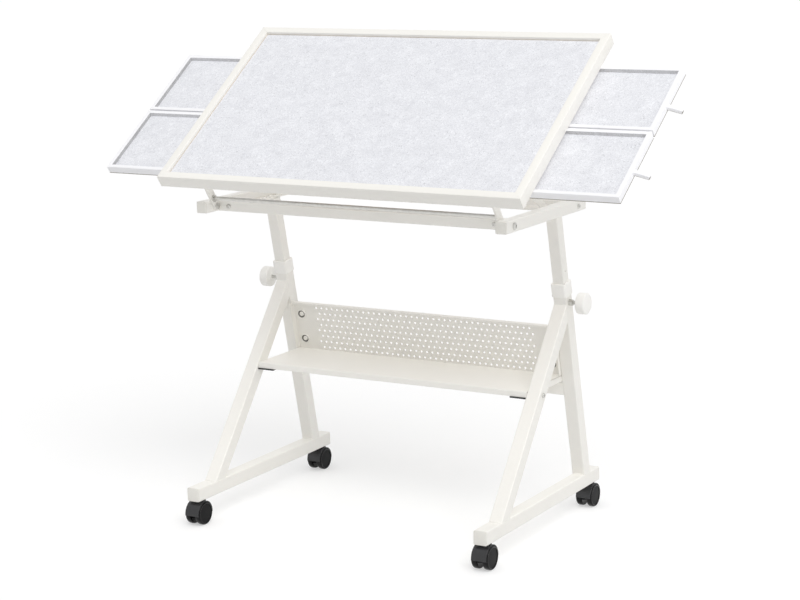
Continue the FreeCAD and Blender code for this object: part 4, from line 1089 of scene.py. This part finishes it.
@dataclass(frozen=True)
class Shelf:
    """Folded sheet-steel shelf with its bolts."""

    half: float = 334.5
    top: float = 315.0
    sheet: float = 1.2
    bend: float = 2.4
    clear: float = 1.0
    panel_x: float = 314.5
    panel_heights: Span = (25.0, 86.0)
    panel_bolt: Bolt = Bolt(8.2, nut=(5.6, 4.0))
    inside: Span = (5.5, 8.7)  # Radii between which a cup is painted darker steel, as painted shade in its hollow.
    cup: Profile = ((0.0, 0.3), (5.8, 0.3), (6.6, 0.7), (8.8, 2.7), (9.7, 2.8), (10.2, 2.2), (10.2, 0.02),
                    (0.0, 0.02))
    leg_face: float = 365.0
    leg_drop: float = 7.5
    leg_bolt: Bolt = Bolt(35.7, nut=(5.6, 4.0))

    def build(self) -> None:
        """Makes the shelf and its bolts."""
        self.make_deck()
        self.make_panel_bolts()
        self.make_leg_bolts()

    def make_deck(self) -> None:
        """Folds the deck: a front lip with a rounded bend, and two side flanges."""
        low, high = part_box("shelf_tray")
        front, bottom = low.y / MM, low.z / MM
        back, top = high.y / MM - self.clear, high.z / MM
        bend, sheet, soft = self.bend, self.sheet, 0.3
        centre = (front + bend, top - bend)
        outline = [(back, top), *arc(centre, bend, 90, 180, 5)]
        outline += [(front, bottom + soft), (front + soft, bottom), (front + sheet - soft, bottom),
                    (front + sheet, bottom + soft), *arc(centre, bend - sheet, 180, 90, 4),
                    (back, top - sheet)]
        work = Workpiece()
        work.plate(Axis.X, (-self.half, self.half), outline)
        for side in Side:
            work.block(side.span(self.half - sheet, self.half), (front + 0.4, back), (bottom, top - 0.1))
        work.finish("shelf_deck", "base", [COAT], ["shelf_tray"])

    def make_panel_bolts(self) -> None:
        """Makes the four bolts of the back panel, each in a shallow cup."""
        work = Workpiece(PANEL)
        faces = [Vector((side.value * self.panel_x, 0, height)) for side in Side
                 for height in self.panel_heights]
        for face in faces:
            self.panel_bolt.add(work, Axis.Y, face, -1)
            work.lathe(Axis.Y, face, self.cup, -1, 36)

        def paint(spot: Vector, normal: Vector) -> int:
            """White coat on heads and rims, darker steel inside the cups as painted shade, zinc on nuts and
            shanks.
            """
            if spot.y > 0:
                return 0
            near, far = self.inside
            return 2 if near < min((spot - face).xz.length for face in faces) < far else 1

        work.finish("panel_bolts", "base", [ZINC, COAT, PAINTED_SHADE_STEEL], (), paint)

    def make_leg_bolts(self) -> None:
        """Makes the two bolts through the front legs."""
        work = Workpiece()
        height = self.top - self.leg_drop
        y = FRONT_LEG.y - math.tan(math.radians(FRONT_LEG.lean)) * (height - FRONT_LEG.z)
        for side in Side:
            self.leg_bolt.add(work, Axis.X, (side.value * self.leg_face, y, height), side.value)
        work.finish("leg_bolts", "base", [ZINC], ["shelf_bolts"])


@dataclass(frozen=True)
class UpperFrame:
    """Trim of the height-adjusting frame: bar caps and bolts."""

    bar_x: float = 360.0
    bar_faces: Span = (347.5, 372.5)
    bar_tube: float = 25.0
    bar_ends: Span = (-186.815, 187.185)
    bar_z: float = 685.49
    crossbar_z: float = 683.99
    front_bolt: Span = (321.5, -139.815)  # Place across and along.
    rear_bolt_y: float = 150.185
    hinge_y: float = -151.815

    def build(self) -> None:
        """Makes all pieces of the upper frame."""
        caps, frame, pivots = Workpiece(), Workpiece(), Workpiece()
        outside = self.bar_faces[1]
        for side in Side:
            add_caps(caps, (side.value * self.bar_x, 0, self.bar_z), self.bar_tube, self.bar_ends, 2.6)
            x, y = self.front_bolt
            Bolt(22.0, height=3.0).add(frame, Axis.Y, (side.value * x, y, self.crossbar_z), -1)
            face = (side.value * outside, self.rear_bolt_y, self.crossbar_z)
            Bolt(45.0, height=3.0).add(frame, Axis.X, face, side.value)
            face = (side.value * outside, self.hinge_y, self.bar_z)
            Bolt(32.8, 7.5, 4.0, 4.0, (7.3, 3.5)).add(pivots, Axis.X, face, side.value)
        caps.finish("side_bar_caps", "upper_frame", [CAP], ["side_bar_end_caps"])
        frame.finish("frame_bolts", "upper_frame", [ZINC], ["crossbar_bolts"])
        pivots.finish("pivot_bolts", "upper_frame", [ZINC], ["hinge_bolts"])


@dataclass(frozen=True)
class Tabletop:
    """Felt board in four mitred rails, with the brackets it tilts on.

    Sizes are measured from the hinge axis along the top and square to it.
    """

    half: float = 432.0
    ends: Span = (-38.0, 480.0)
    rail_width: float = 18.0
    rail: Span = (83.0, 111.0)
    rail_edge: float = 1.3
    seam: float = 0.12  # Half the hairline in a mitre.
    felt: Span = (103.0, 105.0)
    felt_gap: float = 1.6
    arm: Span = (343.2, 347.2)
    arm_half: float = 10.0
    flange: Span = (70.0, 22.0)
    plate: Span = (79.0, 83.0)
    screw_step: float = 24.0

    def build(self) -> None:
        """Makes all pieces of the top."""
        self.make_rails()
        inset = self.rail_width + self.felt_gap
        lay_felt("board_felt_sheet", "tabletop", "board_felt", (inset - self.half, self.half - inset),
                 (self.ends[0] + inset, self.ends[1] - inset), self.felt, 8.0)
        self.make_brackets()
        self.make_screws()

    def make_rails(self) -> None:
        """Mitres the four rails, with a hairline of shadow in each mitre."""
        middle_z = sum(self.rail) / 2
        offset = self.rail_width / 2
        for name, edge, inward in (("front", self.ends[0], 1), ("back", self.ends[1], -1)):
            self.make_rail(name, Axis.X, (-self.half, self.half), (0, edge + inward * offset, middle_z), [
                ((side.value * (self.half - self.seam), edge, middle_z), (side.value, inward, 0))
                for side in Side])
        for side in Side:
            x = side.value * self.half
            self.make_rail(side.label, Axis.Y, self.ends, (x - side.value * offset, 0, middle_z), [
                ((x, edge - outward * self.seam, middle_z), (-side.value, outward, 0))
                for edge, outward in zip(self.ends, (-1, 1), strict=True)])

    def make_rail(self, name: str, axis: Axis, span: Span, middle: Place,
                  cuts: Sequence[tuple[Place, Place]]) -> None:
        """Makes a rail and cuts its mitres.

        Args:
            name: Its side of the top.
            axis: Direction that it runs in.
            span: Its ends.
            middle: Centre of its section.
            cuts: Point and outward direction of each mitre.
        """
        work = Workpiece(TOP)
        work.bar(axis, span, middle, self.rail_width, self.rail[1] - self.rail[0], self.rail_edge)
        for point, normal in cuts:
            work.cut_away(point, normal)
        work.finish(f"{name}_mitred_rail", "tabletop", [COAT], [f"{name}_rail"])

    def make_brackets(self) -> None:
        """Presses the hinge brackets: an arm with a round toe, and a flange under the rail."""
        work = Workpiece(TOP)
        half, low = self.arm_half, self.plate[0]
        for side in Side:
            outline = [*arc((0, 0), half, 180, 360, 12), (half, low), (-half, low)]
            work.plate(Axis.X, side.span(*self.arm), outline, 0.6)
            work.bar(Axis.Z, self.plate, (side.value * sum(self.arm) / 2, 0, 0), *self.flange, 4.0,
                     (0.8, 0.2))
        work.finish("tilt_brackets", "tabletop", [COAT], ["hinge_brackets"])

    def make_screws(self) -> None:
        """Makes the four screws that hold the brackets."""
        work = Workpiece(TOP)
        for side in Side:
            for step in (-self.screw_step, self.screw_step):
                face = (side.value * sum(self.arm) / 2 + step, 0, self.plate[0])
                Bolt(10.0, 4.5, 3.0, 2.5).add(work, Axis.Z, face, -1)
        work.finish("flange_screws", "tabletop", [ZINC], ["bracket_screws"])


@dataclass(frozen=True)
class Trays:
    """Four sliding trays: white mouldings with felt on floor and walls, and pulls on the right."""

    outside: float = 612.0
    length: float = 400.0
    width: float = 195.0
    starts: tuple[tuple[str, float], ...] = (("front", 16.0), ("rear", 215.0))
    faces: Span = (63.0, 80.5)
    wall: float = 9.0
    recess: float = 4.0
    floor: Span = (70.0, 72.5)
    rim: float = 0.8
    # Height of the band of painted shade along the tray's lower edge.
    base_edge: float = 2.0
    pull: Span = (9.6, 33.8)  # Width and length.
    pull_root: float = 3.0
    pull_share: float = 0.42
    pull_droop: float = 18.0  # Degrees.

    def build(self) -> None:
        """Makes every tray with its felt, and the pulls."""
        for side in Side:
            for end, start in self.starts:
                x = side.span(self.outside - self.length, self.outside)
                y = (start, start + self.width)
                self.make_tray(f"{end}_{side.label}", x, y)
                lay_felt(f"{end}_{side.label}_tray_felt_sheet", f"tray_{end}_{side.label}",
                         f"{end}_{side.label}_tray_felt", (x[0] + self.wall, x[1] - self.wall),
                         (y[0] + self.wall, y[1] - self.wall), self.floor, 10.0)
                if side is Side.RIGHT:
                    self.make_pull(end, start)

    def make_tray(self, name: str, x: Span, y: Span) -> None:
        """Makes a tray: a shallow white frame with soft rims round a floor that is let in.

        Args:
            name: Its place, end and side.
            x: Its span across the table.
            y: Its span along the top.
        """
        work = Workpiece(TOP)
        mesh = work.mesh
        low, high = self.faces
        deck = self.floor[0]
        work.block(x, y, (low, high))
        for upward, depth in ((1, deck - high), (-1, self.recess)):
            face = [each for each in mesh.faces if each.normal.z * upward > 0.9]
            bmesh.ops.inset_region(mesh, faces=face, thickness=self.wall, use_even_offset=True)
            well = bmesh.ops.extrude_discrete_faces(mesh, faces=face)["faces"]
            bmesh.ops.translate(mesh, verts=[vert for each in well for vert in each.verts], vec=(0, 0, depth))
            mesh.normal_update()
        work.round_edges([edge for edge in mesh.edges if len(edge.link_faces) == 2
                          and edge.calc_face_angle(0) > 1
                          and max(vert.co.z for vert in edge.verts) > deck + 1], self.rim)
        # A band along the foot of the tray is painted darker: painted shade under its lower edge.
        bare = low + self.base_edge
        bmesh.ops.bisect_plane(mesh, geom=[*mesh.verts, *mesh.edges, *mesh.faces], dist=1e-5,
                               plane_co=(0, 0, bare), plane_no=(0, 0, 1))

        def paint(spot: Vector, normal: Vector) -> int:
            """Felt on the inner walls in greys of painted shade, darkest at the ends; a band of painted shade
            at the lower edge; white elsewhere.
            """
            if spot.z < bare:
                return 2
            inside = x[0] + 2 < spot.x < x[1] - 2 and y[0] + 2 < spot.y < y[1] - 2
            if abs(normal.z) > 0.3 or not inside:
                return 0
            # Walls facing along X get the darker felt and the long walls the lighter one: painted shade.
            return 1 if abs(normal.x) > 0.7 else 3

        work.finish(f"{name}_tray_frame", f"tray_{name}", [TRAY, END_WALL_FELT_PAINTED_SHADE, PAINTED_SHADE_EDGE, LONG_WALL_FELT_PAINTED_SHADE],
                    [f"{name}_tray"], paint)

    def make_pull(self, end: str, start: float) -> None:
        """Makes a pull: a short stick that droops from the end of a tray, white above, with painted shade
        below.

        Args:
            end: Place of its tray, front or rear.
            start: Front edge of the tray along the top.
        """
        work = Workpiece(TOP)
        half = self.pull[0] / 2
        edges = work.block((-self.pull_root, self.pull[1]), (-half, half), (-half, half))
        work.round_edges(edges, 2.0)
        place = Matrix.Translation((self.outside, start + self.width * self.pull_share, sum(self.faces) / 2))
        droop = Matrix.Rotation(math.radians(self.pull_droop), 4, "Y")
        bmesh.ops.transform(work.mesh, matrix=place @ droop, verts=work.mesh.verts)

        def paint(spot: Vector, normal: Vector) -> int:
            """White all round, with the underside in a darker board tone as painted shade."""
            return 1 if normal.z < -0.15 else 0

        work.finish(f"{end}_tray_stick_pull", f"tray_{end}_right", [TRAY, PAINTED_SHADE_EDGE],
                    [f"{end}_right_tray_pull"], paint)


def dress_nodes(frame: Mapping[str, object]) -> None:
    """Gives every node of the frame the finish of its slot.

    Args:
        frame: What the frame's loader returned.
    """
    slots = {entry["node"]: Slot(entry["material_slot"]) for entry in frame["record"]["subparts"]}
    for name, node in frame["nodes"].items():
        node.data.materials.clear()
        node.data.materials.append(SLOT_FINISHES[slots[name]].material)
    LOG.info("%d nodes dressed", len(slots))


def main() -> None:
    """Builds the scene around the frame."""
    logging.basicConfig(level=logging.INFO, format="%(message)s")
    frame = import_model()
    Camera().build()
    Studio().build()
    dress_nodes(frame)
    for assembly in (Casters(), SideFrames(), Shelf(), UpperFrame(), Tabletop(), Trays()):
        assembly.build()


if __name__ == "__main__":
    main()
